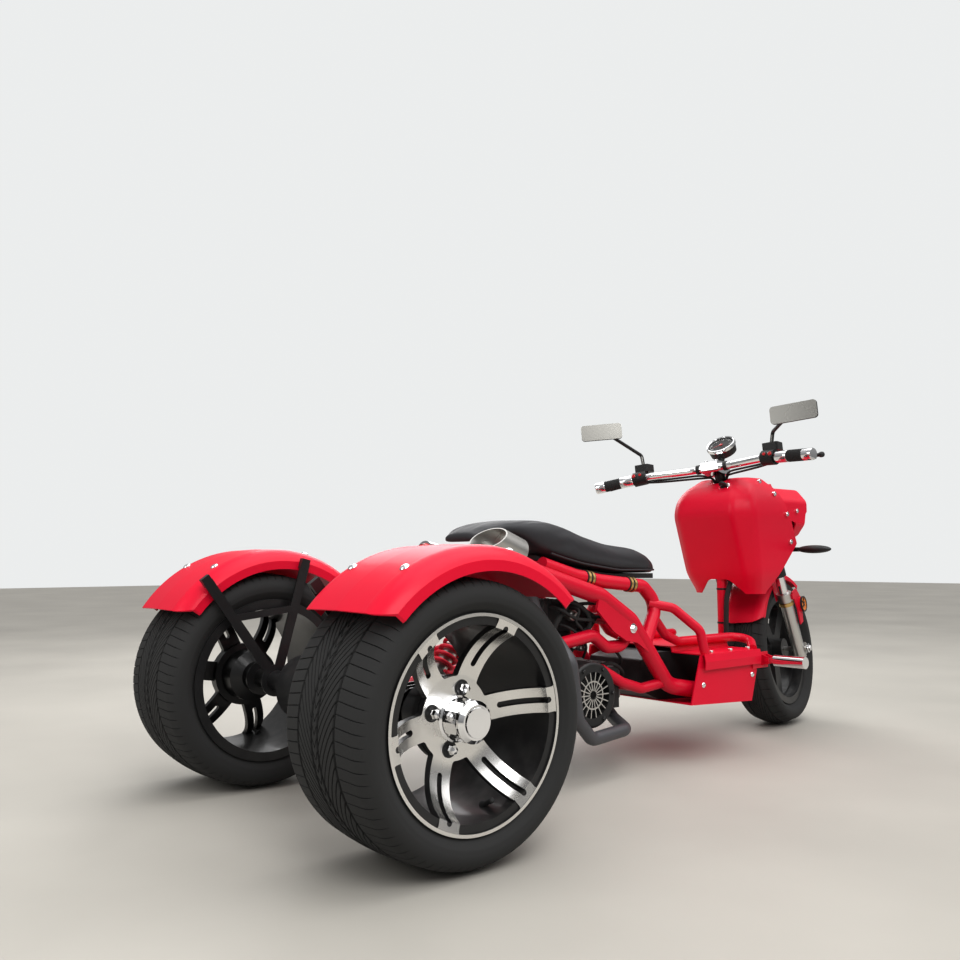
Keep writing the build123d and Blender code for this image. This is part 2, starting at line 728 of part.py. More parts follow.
PAN_HALF = FLOOR_HALF - 13
PAN_BACK = (1000, 152)
PAN_LOW = (1280, 138)
PAN_NOSE = (1308, 222)
skirt_plates = []
for side in SIDES:
    with BuildPart() as skirt:
        with BuildSketch(side_plane(side * (FLOOR_HALF - 9))):
            with BuildLine():
                Polyline(
                    (FLOOR_BACK - 6, SHELF_Z - SHELL), (FLOOR_FRONT - 12, SHELF_Z - SHELL), PAN_NOSE, PAN_LOW,
                    PAN_BACK, close=True,
                )
            make_face()
        extrude(amount=side * 4)
    skirt_plates.append(skirt.part)
floor_skirts = joined(skirt_plates)

with BuildPart() as belly_pan:
    with BuildSketch(side_plane(PAN_HALF)):
        with BuildLine():
            Polyline(
                PAN_BACK, PAN_LOW, PAN_NOSE, (PAN_NOSE[0] - SHELL, PAN_NOSE[1]),
                (PAN_LOW[0] - SHELL / 2, PAN_LOW[1] + SHELL), (PAN_BACK[0], PAN_BACK[1] + SHELL), close=True,
            )
        make_face()
    extrude(amount=PAN_HALF * 2)
    add(frame_rails, mode=Mode.SUBTRACT)

TANK_LIFT = SHELL + SEAT_GAP
with BuildPart() as fuel_tank:
    with BuildSketch(side_plane(96)):
        with BuildLine():
            Polyline(
                (900, 196), (PAN_BACK[0] + 2, PAN_BACK[1] + TANK_LIFT),
                (PAN_LOW[0] - 8, PAN_LOW[1] + TANK_LIFT + 0.3), (PAN_LOW[0], 180), (1236, 286), (1000, 286),
                (930, 270), close=True,
            )
        make_face()
    extrude(amount=192)
    fillet(fuel_tank.edges().filter_by(Axis.Y), radius=12)
    add(cradle_tubes, mode=Mode.SUBTRACT)
    add(frame_rails, mode=Mode.SUBTRACT)

# Foot pegs, folding up on a clevis bolted under the floor edge

PEG_X = FLOOR_FRONT + 27
PEG_Z = 252
PEG_PIN_Y = FLOOR_HALF + 10
PEG_LENGTH = 97
PEG_R = 17
PEG_PIN_R = 4
CLEVIS_HALF = 15
peg_clevises = []
pegs = {}
for side in SIDES:
    with BuildPart() as clevis:
        with BuildSketch(side_plane(side * (FLOOR_HALF - 9))):
            with Locations((PEG_X - 20, PEG_Z)):
                Rectangle(76, 46)
        extrude(amount=side * -4)
        for ear_x in (-CLEVIS_HALF, CLEVIS_HALF - 5):
            with BuildSketch(Plane(origin=(PEG_X + ear_x, 0, 0), x_dir=(0, 1, 0), z_dir=(1, 0, 0))):
                with BuildLine():
                    Polyline(
                        (side * (FLOOR_HALF - 5), PEG_Z - 16), (side * (PEG_PIN_Y + 9), PEG_Z - 9),
                        (side * (PEG_PIN_Y + 9), PEG_Z + 9), (side * (FLOOR_HALF - 5), PEG_Z + 16), close=True,
                    )
                make_face()
            extrude(amount=5)
        pin_at = Vector(PEG_X, side * PEG_PIN_Y, PEG_Z)
        pin_half = Vector(CLEVIS_HALF + 4, 0, 0)
        add(rod(pin_at - pin_half, pin_at + pin_half, PEG_PIN_R))
        add(floor_skirts, mode=Mode.SUBTRACT)
        add(floorboard.part, mode=Mode.SUBTRACT)
    peg_clevises.append(clevis.part)
    tongue_half = CLEVIS_HALF - 5 - 0.5
    with BuildPart() as peg:
        with BuildSketch(Plane(origin=(PEG_X - tongue_half, 0, 0), x_dir=(0, 1, 0), z_dir=(1, 0, 0))):
            with Locations((side * PEG_PIN_Y, PEG_Z)):
                Circle(8)
            with Locations((side * (PEG_PIN_Y + 12), PEG_Z)):
                Rectangle(24, 16)
        extrude(amount=tongue_half * 2)
        with BuildSketch(face_plane((PEG_X, 0, PEG_Z), side, PEG_PIN_Y + 22)):
            Circle(PEG_R)
        extrude(amount=PEG_LENGTH)
        add(rod(pin_at - pin_half, pin_at + pin_half, PEG_PIN_R + RUN_FIT), mode=Mode.SUBTRACT)
    pegs[side] = peg.part
peg_brackets = joined(peg_clevises)

# Rear axle, arms and springs

GEAR_CASE_R = 74
with BuildPart() as axle_housing:
    add(across((0, REAR_R), AXLE_TUBE_END, AXLE_TUBE_R))
    add(across((0, REAR_R), HALF_TRACK + REAR_FACE - WEB, REAR_SHAFT_R))
    add(rod((0, 20, REAR_R), (0, 104, REAR_R), GEAR_CASE_R))
    add(rod((0, 10, REAR_R), (0, 114, REAR_R), GEAR_CASE_R - 22))
    for side in SIDES:
        for ear_y in (-20, 14):
            with BuildSketch(side_plane(side * SHOCK_Y + ear_y + 6)):
                strip((0, REAR_R), (128, 268), 40)
                with Locations((128, 268)):
                    Circle(20)
            extrude(amount=6)
        add(rod((128, side * SHOCK_Y - 24, 268), (128, side * SHOCK_Y + 24, 268), SHOCK_PIN_R))
        add(rod((0, side * (AXLE_TUBE_END - 8), REAR_R), (0, side * AXLE_TUBE_END, REAR_R), 42))

SHOCK_LOW = Vector(128, 0, 268)
SHOCK_HIGH = Vector(REAR_CROSS[0], 0, REAR_CROSS[1])
SHOCK_RUN = (SHOCK_HIGH - SHOCK_LOW).length
SHOCK_UP = (SHOCK_HIGH - SHOCK_LOW).normalized()
EYE_R = 17
EYE_HALF = 13
SPRING_LOW = 52
SPRING_HIGH = 176
SPRING_R = 28
SPRING_TURNS = 6
COIL_R = 5


def shock_plane(side):
    """Half section plane of one shock: X is the radius and Y runs up the shock."""
    origin = SHOCK_LOW + Vector(0, side * SHOCK_Y, 0)
    return Plane(origin=origin, x_dir=(0, 1, 0), z_dir=Vector(0, 1, 0).cross(SHOCK_UP))


shock_bodies = []
spring_bodies = []
for side in SIDES:
    plane = shock_plane(side)
    axis = Axis(plane.origin, SHOCK_UP)
    core = SPRING_R - COIL_R * 2 - 1
    profile = [
        (0, EYE_R - 4), (13, EYE_R - 4), (13, 34), (core + 12, 40), (core + 12, SPRING_LOW - SEAT_GAP),
        (core, SPRING_LOW - SEAT_GAP), (core, SPRING_LOW + 66), (9, SPRING_LOW + 70),
        (9, SPRING_HIGH + SEAT_GAP), (core + 12, SPRING_HIGH + SEAT_GAP), (core + 12, SPRING_HIGH + 8),
        (13, SPRING_HIGH + 14), (13, SHOCK_RUN - EYE_R + 4), (0, SHOCK_RUN - EYE_R + 4),
    ]
    body = turned(plane, axis, profile)
    eyes = []
    pins = []
    for point in (SHOCK_LOW, SHOCK_HIGH):
        middle = point + Vector(0, side * SHOCK_Y, 0)
        eyes.append(rod(middle - Vector(0, EYE_HALF, 0), middle + Vector(0, EYE_HALF, 0), EYE_R))
        pins.append(rod(middle - Vector(0, 40, 0), middle + Vector(0, 40, 0), SHOCK_PIN_R))
    shock_bodies.append(joined([body] + eyes, pins))
    pitch = (SPRING_HIGH - SPRING_LOW) / SPRING_TURNS
    with BuildPart() as spring:
        with BuildSketch(plane):
            with BuildLine():
                Line((core + SEAT_GAP, SPRING_LOW), (SPRING_R - COIL_R, SPRING_LOW))
                for turn in range(SPRING_TURNS):
                    low = SPRING_LOW + turn * pitch
                    ThreePointArc(
                        (SPRING_R - COIL_R, low), (SPRING_R, low + pitch / 2), (SPRING_R - COIL_R, low + pitch)
                    )
                Line((SPRING_R - COIL_R, SPRING_HIGH), (core + SEAT_GAP, SPRING_HIGH))
                Line((core + SEAT_GAP, SPRING_HIGH), (core + SEAT_GAP, SPRING_LOW))
            make_face()
        revolve(axis=axis)
    spring_bodies.append(spring.part)
shock_absorbers = joined(shock_bodies)
shock_springs = joined(spring_bodies)

ARM_ROUTE = [
    (843, -ARM_Y, 352),
    (806, -ARM_Y, 318),
    (752, -ARM_Y, 318),
    (700, -ARM_Y, 352),
    (600, -ARM_Y, 338),
    (0, -ARM_Y, REAR_R),
]
arm_tubes = [tube(mirrored(ARM_ROUTE, side), 34, ARM_D) for side in SIDES]
arm_cross = rod((600, -ARM_Y, 338), (600, ARM_Y, 338), 14)
pivot_bosses = [rod((843, side * (ARM_Y - 17), 352), (843, side * GUSSET_Y, 352), 19) for side in SIDES]
swing_arm = joined(arm_tubes + [arm_cross] + pivot_bosses, [axle_housing.part, frame_gussets, frame_rails])

# Engine

CRANK_X = 655
CRANK_Z = 208
CASE_HALF = 92
with BuildPart() as engine:
    with BuildSketch(side_plane(CASE_HALF)):
        with BuildLine():
            Polyline(
                (566, 150), (600, 118), (720, 118), (752, 150),
                (752, 262), (700, 292), (600, 288), (566, 250), close=True,
            )
        make_face()
    extrude(amount=CASE_HALF * 2)
    fillet(engine.edges().filter_by(Axis.Y), radius=14)
    with BuildSketch(Plane(origin=(752, 0, 206), x_dir=(0, 1, 0), z_dir=(1, 0, 0))):
        RectangleRounded(96, 96, 12)
    extrude(amount=104)
    for fin in range(7):
        with BuildSketch(Plane(origin=(762 + fin * 12, 0, 206), x_dir=(0, 1, 0), z_dir=(1, 0, 0))):
            RectangleRounded(134, 124, 10)
        extrude(amount=4)
    with BuildSketch(Plane(origin=(856, 0, 206), x_dir=(0, 1, 0), z_dir=(1, 0, 0))):
        RectangleRounded(104, 92, 16)
    extrude(amount=34)
    add(cradle_tubes, mode=Mode.SUBTRACT)

FAN_R = 82
GRILLE_R = 57
FAN_BACK = -CASE_HALF
FAN_FACE = -176
FAN_BARS = 18
with BuildPart() as fan_cover:
    with BuildSketch(face_plane((CRANK_X, 0, CRANK_Z), RIGHT, -FAN_BACK)):
        Circle(FAN_R)
    extrude(amount=FAN_BACK - FAN_FACE)
    fillet(fan_cover.faces().sort_by(Axis.Y)[0].edges(), radius=8)
    with BuildSketch(face_plane((CRANK_X, 0, CRANK_Z), RIGHT, -FAN_FACE - 26)):
        Circle(GRILLE_R)
    extrude(amount=40, mode=Mode.SUBTRACT)
    with BuildSketch(face_plane((CRANK_X, 0, CRANK_Z), RIGHT, -FAN_FACE - 6)):
        with PolarLocations(GRILLE_R / 2 + 6, FAN_BARS):
            Rectangle(GRILLE_R - 10, 3)
        for ring_r in (13, 36):
            Circle(ring_r)
            Circle(ring_r - 4, mode=Mode.SUBTRACT)
        with PolarLocations(GRILLE_R / 2 + 6, FAN_BARS):
            Rectangle(GRILLE_R - 10, 3)
        Circle(9, mode=Mode.SUBTRACT)
    extrude(amount=5)
    with BuildSketch(face_plane((CRANK_X, 0, CRANK_Z), RIGHT, 72)):
        with Locations((110, 0)):
            Rectangle(120, 108)
    extrude(amount=34)
    add(engine.part, mode=Mode.SUBTRACT)
    add(cradle_tubes, mode=Mode.SUBTRACT)

with BuildPart() as drive_case:
    with BuildSketch(side_plane(CASE_HALF)):
        with BuildLine():
            Line((CRANK_X, CRANK_Z + 84), (230, 300))
            ThreePointArc((230, 300), (160, 235), (225, 170))
            Line((225, 170), (CRANK_X, CRANK_Z - 84))
            ThreePointArc((CRANK_X, CRANK_Z - 84), (CRANK_X + 84, CRANK_Z), (CRANK_X, CRANK_Z + 84))
        make_face()
    extrude(amount=-20)
    with BuildSketch(side_plane(104)):
        with Locations((CRANK_X, CRANK_Z)):
            Circle(76)
        with Locations((228, 235)):
            Circle(58)
        strip((CRANK_X, CRANK_Z), (228, 235), 112)
    extrude(amount=-34)
    with BuildSketch(side_plane(30)):
        strip((0, REAR_R), (240, 240), 96)
    extrude(amount=-62)
    add(axle_housing.part, mode=Mode.SUBTRACT)
    add(engine.part, mode=Mode.SUBTRACT)
    add(swing_arm, mode=Mode.SUBTRACT)

with BuildPart() as air_box:
    with BuildSketch(side_plane(70)):
        with BuildLine():
            Polyline((600, 372), (640, 362), (760, 362), (790, 392), (700, 436), (600, 448), close=True)
        make_face()
    extrude(amount=140)
    fillet(air_box.edges().filter_by(Axis.Y), radius=14)
    add(rod((690, -20, 292), (700, -20, 364), 24))
    add(engine.part, mode=Mode.SUBTRACT)
    add(swing_arm, mode=Mode.SUBTRACT)

PIPE_ROUTE = [
    (838, -30, 160),
    (830, -80, 122),
    (770, -178, 112),
    (625, -196, 106),
    (566, -206, 160),
    (548, -204, 300),
    (532, -96, 420),
    (505, -84, 524),
    (430, -128, 568),
]
MUFFLER_IN = Vector(446, -126, 562)
MUFFLER_OUT = Vector(350, -132, 597)
MUFFLER_R = 38
MUFFLER_BORE = 50
exhaust_tube = tube(PIPE_ROUTE, 36, PIPE_D)
exhaust_pipe = joined([exhaust_tube], [engine.part])
muffler_run = (MUFFLER_OUT - MUFFLER_IN).normalized()
with BuildPart() as muffler:
    add(rod(MUFFLER_IN, MUFFLER_OUT + muffler_run * 90, MUFFLER_R))
    add(rod(MUFFLER_OUT - muffler_run * MUFFLER_BORE, MUFFLER_OUT + muffler_run * 100, MUFFLER_R - SHELL),
        mode=Mode.SUBTRACT)
    split(bisect_by=Plane(origin=MUFFLER_OUT, z_dir=(-0.5, -0.3, 0.81)), keep=Keep.BOTTOM)
    with BuildSketch(side_plane(-122)):
        strip((428, 532), (428, 500), 24)
    extrude(amount=14)
    add(exhaust_pipe, mode=Mode.SUBTRACT)
    add(frame_rails, mode=Mode.SUBTRACT)

# Rear fenders and their stays

ARCH_CENTRE = Vector(22, 0, REAR_R + 4)
ARCH_R = REAR_R + 54
ARCH_HALF = 138
ARCH_EDGE = REAR_R + 4
ARCH_CORNER = 44
ARCHES = (
    # side, angle of the front end, angle of the rear end
    (RIGHT, 42, 141),
    (LEFT, 42, 147),
)
fender_bodies = []
for side, arch_from, arch_to in ARCHES:
    centre = ARCH_CENTRE + Vector(0, side * HALF_TRACK, 0)
    with BuildPart() as fender:
        with BuildSketch(arch_plane(centre, arch_from)):
            with BuildLine():
                Line((ARCH_EDGE, ARCH_HALF), (ARCH_R - 30, ARCH_HALF))
                ThreePointArc(
                    (ARCH_R - 30, ARCH_HALF), (ARCH_R - 10, ARCH_HALF - 19), (ARCH_R - 2, ARCH_HALF - 52)
                )
                Line((ARCH_R - 2, ARCH_HALF - 52), (ARCH_R, 0))
                Line((ARCH_R - SHELL, 0), (ARCH_R - 2 - SHELL, ARCH_HALF - 52))
                ThreePointArc(
                    (ARCH_R - 2 - SHELL, ARCH_HALF - 52),
                    (ARCH_R - 12.5, ARCH_HALF - 21),
                    (ARCH_R - 31, ARCH_HALF - SHELL),
                )
                Line((ARCH_R - 31, ARCH_HALF - SHELL), (ARCH_EDGE, ARCH_HALF - SHELL))
                Line((ARCH_EDGE, ARCH_HALF - SHELL), (ARCH_EDGE, ARCH_HALF))
                mirror(about=Plane.XZ)
            make_face()
        revolve(axis=Axis(centre, (0, -1, 0)), revolution_arc=arch_to - arch_from)
        add(end_trim(centre, ARCH_R, arch_from, ARCH_HALF, ARCH_CORNER, 1), mode=Mode.SUBTRACT)
        add(end_trim(centre, ARCH_R, arch_to, ARCH_HALF, ARCH_CORNER, -1), mode=Mode.SUBTRACT)
    fender_bodies.append(fender.part)
rear_fenders = joined(fender_bodies)

STAY_Y = 248
STAY_THICK = 5
STAY_TOPS = ((-177, 499), (75, 538))
stay_bodies = []
for side in SIDES:
    with BuildPart() as stay:
        with BuildSketch(side_plane(side * STAY_Y)):
            with Locations((0, REAR_R)):
                Circle(38)
            for top in STAY_TOPS:
                strip((0, REAR_R), top, 24)
            strip((-112, 411), (46, 430), 16)
            with Locations((0, REAR_R)):
                Circle(AXLE_TUBE_R, mode=Mode.SUBTRACT)
        extrude(amount=side * -STAY_THICK)
        for top in STAY_TOPS:
            with BuildSketch(side_plane(side * STAY_Y)):
                with Locations(top):
                    Rectangle(24, 22, rotation=degrees(atan2(top[1] - REAR_R, top[0])))
            extrude(amount=side * -(HALF_TRACK - ARCH_HALF - STAY_Y))
        add(rear_fenders, mode=Mode.SUBTRACT)
    stay_bodies.append(stay.part)
fender_stays = joined(stay_bodies)

LAMP_X = 262
LAMP_Z = 553
with BuildPart() as tail_lamp:
    with BuildSketch(Plane(origin=(LAMP_X, 0, LAMP_Z), x_dir=(0, 1, 0), z_dir=(-1, 0, 0))):
        Circle(40)
    extrude(amount=-34, taper=12)
    with BuildSketch(Plane(origin=(LAMP_X, 0, LAMP_Z), x_dir=(0, 1, 0), z_dir=(-1, 0, 0))):
        Circle(35)
    extrude(amount=9, taper=18)
    with BuildSketch(side_plane(22)):
        with BuildLine():
            Polyline((316, 474), (334, 482), (306, 562), (290, 562), close=True)
        make_face()
    extrude(amount=44)
    add(frame_rails, mode=Mode.SUBTRACT)

# Seat

SEAT_HALF = 120
SEAT_NOSE_HALF = 96
SEAT_TAIL_HALF = 88
SEAT_TAIL = 364
SEAT_NOSE = 1047
with BuildPart() as seat_cushion:
    with BuildSketch(side_plane(SEAT_HALF)):
        with BuildLine():
            ThreePointArc((SEAT_TAIL, 610), (450, 641), (562, 648))
            ThreePointArc((562, 648), (640, 632), (720, 609))
            ThreePointArc((720, 609), (830, 586), (935, 576))
            ThreePointArc((935, 576), (1021, 550), (SEAT_NOSE, 508))
            Line((SEAT_NOSE, 508), (846, 508))
            ThreePointArc((846, 508), (690, 526), (548, 558))
            ThreePointArc((548, 558), (494, 600), (430, 614))
            ThreePointArc((430, 614), (400, 604), (SEAT_TAIL, 582))
            Line((SEAT_TAIL, 582), (SEAT_TAIL, 610))
        make_face()
    extrude(amount=SEAT_HALF * 2)
    with BuildSketch(Plane.XY.offset(450)):
        with BuildLine():
            Polyline(
                (SEAT_TAIL, 56), (382, 78), (470, SEAT_TAIL_HALF), (560, SEAT_HALF), (660, SEAT_HALF - 3),
                (860, SEAT_NOSE_HALF), (980, SEAT_NOSE_HALF), (1028, 70), (SEAT_NOSE, 34),
                (SEAT_NOSE, -34), (1028, -70), (980, -SEAT_NOSE_HALF), (860, -SEAT_NOSE_HALF),
                (660, -SEAT_HALF + 3), (560, -SEAT_HALF), (470, -SEAT_TAIL_HALF), (382, -78),
                (SEAT_TAIL, -56), close=True,
            )
        make_face()
    extrude(amount=300, mode=Mode.INTERSECT)

PAN_TOP_GAP = 0.3
with BuildPart() as seat_pan:
    with BuildSketch(side_plane(84)):
        with BuildLine():
            Line((1000, 508 - PAN_TOP_GAP), (846, 508 - PAN_TOP_GAP))
            ThreePointArc((846, 508 - PAN_TOP_GAP), (690, 526 - PAN_TOP_GAP), (548, 558 - PAN_TOP_GAP))
            Line((548, 558 - PAN_TOP_GAP), (548, 546))
            ThreePointArc((548, 546), (690, 514), (846, 496))
            Line((846, 496), (1000, 494))
            Line((1000, 494), (1000, 508 - PAN_TOP_GAP))
        make_face()
    extrude(amount=168)
    add(seat_rails, mode=Mode.SUBTRACT)

# Front cowl: a hollow shell round the head tube, open to the front

COWL_SECTIONS = (
    # height, back edge x, back half width, corner x, side half width
    (438, 1448, 84, 1466, 120),
    (500, 1414, 104, 1440, 141),
    (690, 1354, 104, 1400, 156),
    (734, 1362, 100, 1405, 149),
    (766, 1386, 92, 1424, 135),
    (788, 1416, 80, 1446, 114),
    (806, 1454, 60, 1470, 88),
)
COWL_CORNER = 26
COWL_FRONT = 1720
FLANGE_TOP = (1540, 790)
FLANGE_LOW = (1640, 596)
CHIN_BACK = (1496, 442)
ARCH_TOP = 500
ARCH_WIDTH = 108
STEM_HOLE_R = 32


def cowl_block(inset):
    """Solid through the cowl's sections, shrunk by one inset."""
    with BuildPart() as block:
        last = len(COWL_SECTIONS) - 1
        for index, (height, back_x, back_half, corner_x, half) in enumerate(COWL_SECTIONS):
            lift = inset if index == 0 else -inset if index == last else 0
            with BuildSketch(Plane.XY.offset(height + lift)) as section:
                with BuildLine():
                    Polyline(
                        (COWL_FRONT, -half + inset), (corner_x + inset, -half + inset),
                        (back_x + inset, -back_half + inset / 2), (back_x + inset, back_half - inset / 2),
                        (corner_x + inset, half - inset), (COWL_FRONT, half - inset), close=True,
                    )
                make_face()
                fillet(section.vertices().sort_by(Axis.X)[:4], radius=COWL_CORNER - inset)
        loft(ruled=True)
    return block.part


flange_run = Vector(FLANGE_LOW[0] - FLANGE_TOP[0], 0, FLANGE_LOW[1] - FLANGE_TOP[1]).normalized()
flange_out = Vector(-flange_run.Z, 0, flange_run.X)
flange_plane = Plane(origin=(FLANGE_TOP[0], 0, FLANGE_TOP[1]), x_dir=(0, 1, 0), z_dir=flange_out)
chin_run = Vector(FLANGE_LOW[0] - CHIN_BACK[0], 0, FLANGE_LOW[1] - CHIN_BACK[1]).normalized()
chin_out = Vector(chin_run.Z, 0, -chin_run.X)
chin_plane = Plane(origin=(CHIN_BACK[0], 0, CHIN_BACK[1]), x_dir=(0, 1, 0), z_dir=chin_out)

with BuildPart() as front_cowl:
    add(cowl_block(0))
    add(cowl_block(SHELL), mode=Mode.SUBTRACT)
    split(bisect_by=flange_plane, keep=Keep.BOTTOM)
    split(bisect_by=chin_plane, keep=Keep.BOTTOM)
    with BuildSketch(Plane(origin=(1300, 0, 0), x_dir=(0, 1, 0), z_dir=(1, 0, 0))):
        with Locations((0, ARCH_TOP - 60)):
            RectangleRounded(ARCH_WIDTH, 120, 24)
    extrude(amount=260, mode=Mode.SUBTRACT)
    add(rod(steer_point(580), steer_point(690), STEM_HOLE_R), mode=Mode.SUBTRACT)

# Stay across the head tube that carries the cowl

COWL_STAY_HEIGHT = 470
COWL_STAY_R = 8


def cowl_half(height):
    """Half width of the cowl's side wall at one height."""
    for below, above in zip(COWL_SECTIONS, COWL_SECTIONS[1:]):
        if below[0] <= height <= above[0]:
            share = (height - below[0]) / (above[0] - below[0])
            return below[4] + (above[4] - below[4]) * share


stay_at = steer_point(COWL_STAY_HEIGHT)
stay_half = cowl_half(stay_at.Z - COWL_STAY_R) - SHELL - SEAT_GAP
cowl_stay = across((stay_at.X, stay_at.Z), stay_half, COWL_STAY_R)
frame_spine = joined([frame_spine, cowl_stay], [stem_bore])

# Front shield, lamp, hood and turn signals

SHIELD_DEPTH = 58
SHIELD_SECTIONS = (
    # distance ahead of the flange, top half width, low half width, drop to the top edge, drop to the low edge
    (SEAT_GAP, 112, 146, 6, 214),
    (SHIELD_DEPTH, 84, 104, 26, 182),
)


def shield_block(inset):
    """Solid through the shield's sections, shrunk by one inset and pulled back by it."""
    with BuildPart() as block:
        for ahead, half_top, half_low, top, low in SHIELD_SECTIONS:
            with BuildSketch(flange_plane.offset(ahead - inset)):
                with BuildLine():
                    Polyline(
                        (inset - half_top, -top - inset), (inset - half_low, -low + inset),
                        (half_low - inset, -low + inset), (half_top - inset, -top - inset), close=True,
                    )
                make_face()
        loft(ruled=True)
    return block.part


with BuildPart() as front_shield:
    add(shield_block(0))
    add(shield_block(SHELL), mode=Mode.SUBTRACT)

LAMP_AT = Vector(1796, 0, 688)
LAMP_R = 75
LAMP_BACK = 112
LAMP_RIM = 16
bowl_x = (LAMP_R**2 + LAMP_RIM**2 - LAMP_BACK**2) / (2 * (LAMP_BACK - LAMP_RIM))
bowl_r = LAMP_BACK + bowl_x
with BuildPart() as headlamp:
    with BuildSketch(Plane(origin=LAMP_AT, x_dir=(0, 0, 1), z_dir=(0, 1, 0))):
        with BuildLine():
            Line((0, 0), (LAMP_R, 0))
            Line((LAMP_R, 0), (LAMP_R, -LAMP_RIM))
            ThreePointArc(
                (LAMP_R, -LAMP_RIM),
                (bowl_r * sin(radians(45)), bowl_x - bowl_r * cos(radians(45))),
                (0, -LAMP_BACK),
            )
            Line((0, -LAMP_BACK), (0, 0))
        make_face()
    revolve(axis=Axis(LAMP_AT, (1, 0, 0)))

HOOD_BACK = 1650
HOOD_FRONT = 1812
HOOD_HALF = 86
HOOD_WALL = 4
HOOD_CORNER = 30
with BuildPart() as headlamp_hood:
    with BuildSketch(Plane(origin=(HOOD_BACK, 0, 0), x_dir=(0, 1, 0), z_dir=(1, 0, 0))) as hood_ring:
        with BuildLine():
            Polyline(
                (-HOOD_HALF, 664), (-HOOD_HALF, 742), (-48, 786), (48, 786), (HOOD_HALF, 742), (HOOD_HALF, 664),
                (60, 622), (-60, 622), close=True,
            )
        make_face()
        fillet(hood_ring.vertices(), radius=HOOD_CORNER)
        offset(amount=-HOOD_WALL, mode=Mode.SUBTRACT)
    extrude(amount=HOOD_FRONT - HOOD_BACK)
    with BuildSketch(side_plane(HOOD_HALF + 5)):
        with BuildLine():
            Polyline((1640, 600), (1640, 700), (1742, 668), (1760, 600), close=True)
        make_face()
        with BuildLine():
            Polyline((1790, 600), (1790, 640), (1804, 700), (1830, 730), (1830, 600), close=True)
        make_face()
    extrude(amount=HOOD_HALF * 2 + 10, mode=Mode.SUBTRACT)
    add(headlamp.part, mode=Mode.SUBTRACT)
    add(front_shield.part, mode=Mode.SUBTRACT)

SIGNAL_X = 1650
SIGNAL_Z = 578
SIGNAL_THICK = 26
signal_bodies = []
for side in SIDES:
    with BuildPart() as signal:
        add(rod((SIGNAL_X, side * 98, SIGNAL_Z), (SIGNAL_X, side * 160, SIGNAL_Z), 7))
        with BuildSketch(Plane(origin=(SIGNAL_X, 0, SIGNAL_Z - SIGNAL_THICK / 2))):
            with Locations((0, side * 204)):
                Ellipse(24, 58)
        extrude(amount=SIGNAL_THICK)
        with BuildSketch(side_plane(side * 100)):
            with BuildLine():
                Polyline(
                    (SIGNAL_X - 6, SIGNAL_Z - 4), (SIGNAL_X + 8, SIGNAL_Z - 4), (SIGNAL_X + 8, 629),
                    (SIGNAL_X - 6, 608), close=True,
                )
            make_face()
        extrude(amount=side * -20)
        add(front_shield.part, mode=Mode.SUBTRACT)
        add(front_cowl.part, mode=Mode.SUBTRACT)
    signal_bodies.append(signal.part)
front_signals = joined(signal_bodies)

# Export: the front end is turned to its parked angle, then everything is shifted to the origin

FIXED = {
    "frame_rails": frame_rails,
    "seat_rails": seat_rails,
    "frame_spine": frame_spine,
    "frame_gussets": frame_gussets,
    "floor_guards": floor_guards,
    "cradle_tubes": cradle_tubes,
    "floorboard": floorboard.part,
    "floor_skirts": floor_skirts,
    "belly_pan": belly_pan.part,
    "fuel_tank": fuel_tank.part,
    "peg_brackets": peg_brackets,
    "right_foot_peg": pegs[RIGHT],
    "left_foot_peg": pegs[LEFT],
    "axle_housing": axle_housing.part,
    "shock_absorbers": shock_absorbers,
    "shock_springs": shock_springs,
    "swing_arm": swing_arm,
    "engine": engine.part,
    "fan_cover": fan_cover.part,
    "drive_case": drive_case.part,
    "air_box": air_box.part,
    "exhaust_pipe": exhaust_pipe,
    "muffler": muffler.part,
    "rear_fenders": rear_fenders,
    "fender_stays": fender_stays,
    "tail_lamp": tail_lamp.part,
    "seat_cushion": seat_cushion.part,
    "seat_pan": seat_pan.part,
    "front_cowl": front_cowl.part,
    "front_shield": front_shield.part,
    "headlamp": headlamp.part,
    "headlamp_hood": headlamp_hood.part,
    "front_signals": front_signals,
    "rear_right_tyre": rear_tyres[RIGHT],
    "rear_right_rim": rear_rims[RIGHT],
    "rear_right_hub": rear_hubs[RIGHT],
    "rear_right_cap": wheel_caps[RIGHT],
    "rear_left_tyre": rear_tyres[LEFT],
    "rear_left_rim": rear_rims[LEFT],
    "rear_left_hub": rear_hubs[LEFT],
    "rear_left_cap": wheel_caps[LEFT],
}
STEERED = {
    "fork_yoke": fork_yoke.part,
    "fork_tubes": fork_tubes,
    "fork_lowers": fork_lowers,
    "front_fender": front_fender.part,
    "reflector_brackets": reflector_brackets,
    "brake_caliper": brake_caliper.part,
    "handlebar": handlebar,
    "grips": grips,
    "switch_housings": switch_housings,
    "mirrors": mirrors,
    "gauge": gauge.part,
    "front_tyre": front_tyre,
    "front_rim": front_rim.part,
    "brake_disc": brake_disc.part,
}
PIECES = dict(FIXED)
for name, piece in STEERED.items():
    PIECES[name] = piece.rotate(STEER_AXIS, PARKED_STEER)

reach = PIECES["front_tyre"].bounding_box().max.X
tail = PIECES["rear_right_tyre"].bounding_box().min.X
TO_ORIGIN = Location((-(reach + tail) / 2, 0, 0))

os.makedirs("parts", exist_ok=True)
for name, piece in PIECES.items():
    node = piece.moved(TO_ORIGIN)
    node.label = name
    export_step(node, f"parts/{name}.step")
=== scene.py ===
"""Looks of a motor trike: finishes, tyre tread, seat, springs, fasteners, lamps and small fittings.

Stations are millimetres as in the part's source: X forward from the rear axle, Y to the rider's left, Z up.
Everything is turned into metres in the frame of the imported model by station() and steered().
"""

import json
import logging
import math
from dataclasses import dataclass, field
from enum import Enum
from typing import Callable, Iterable, Sequence

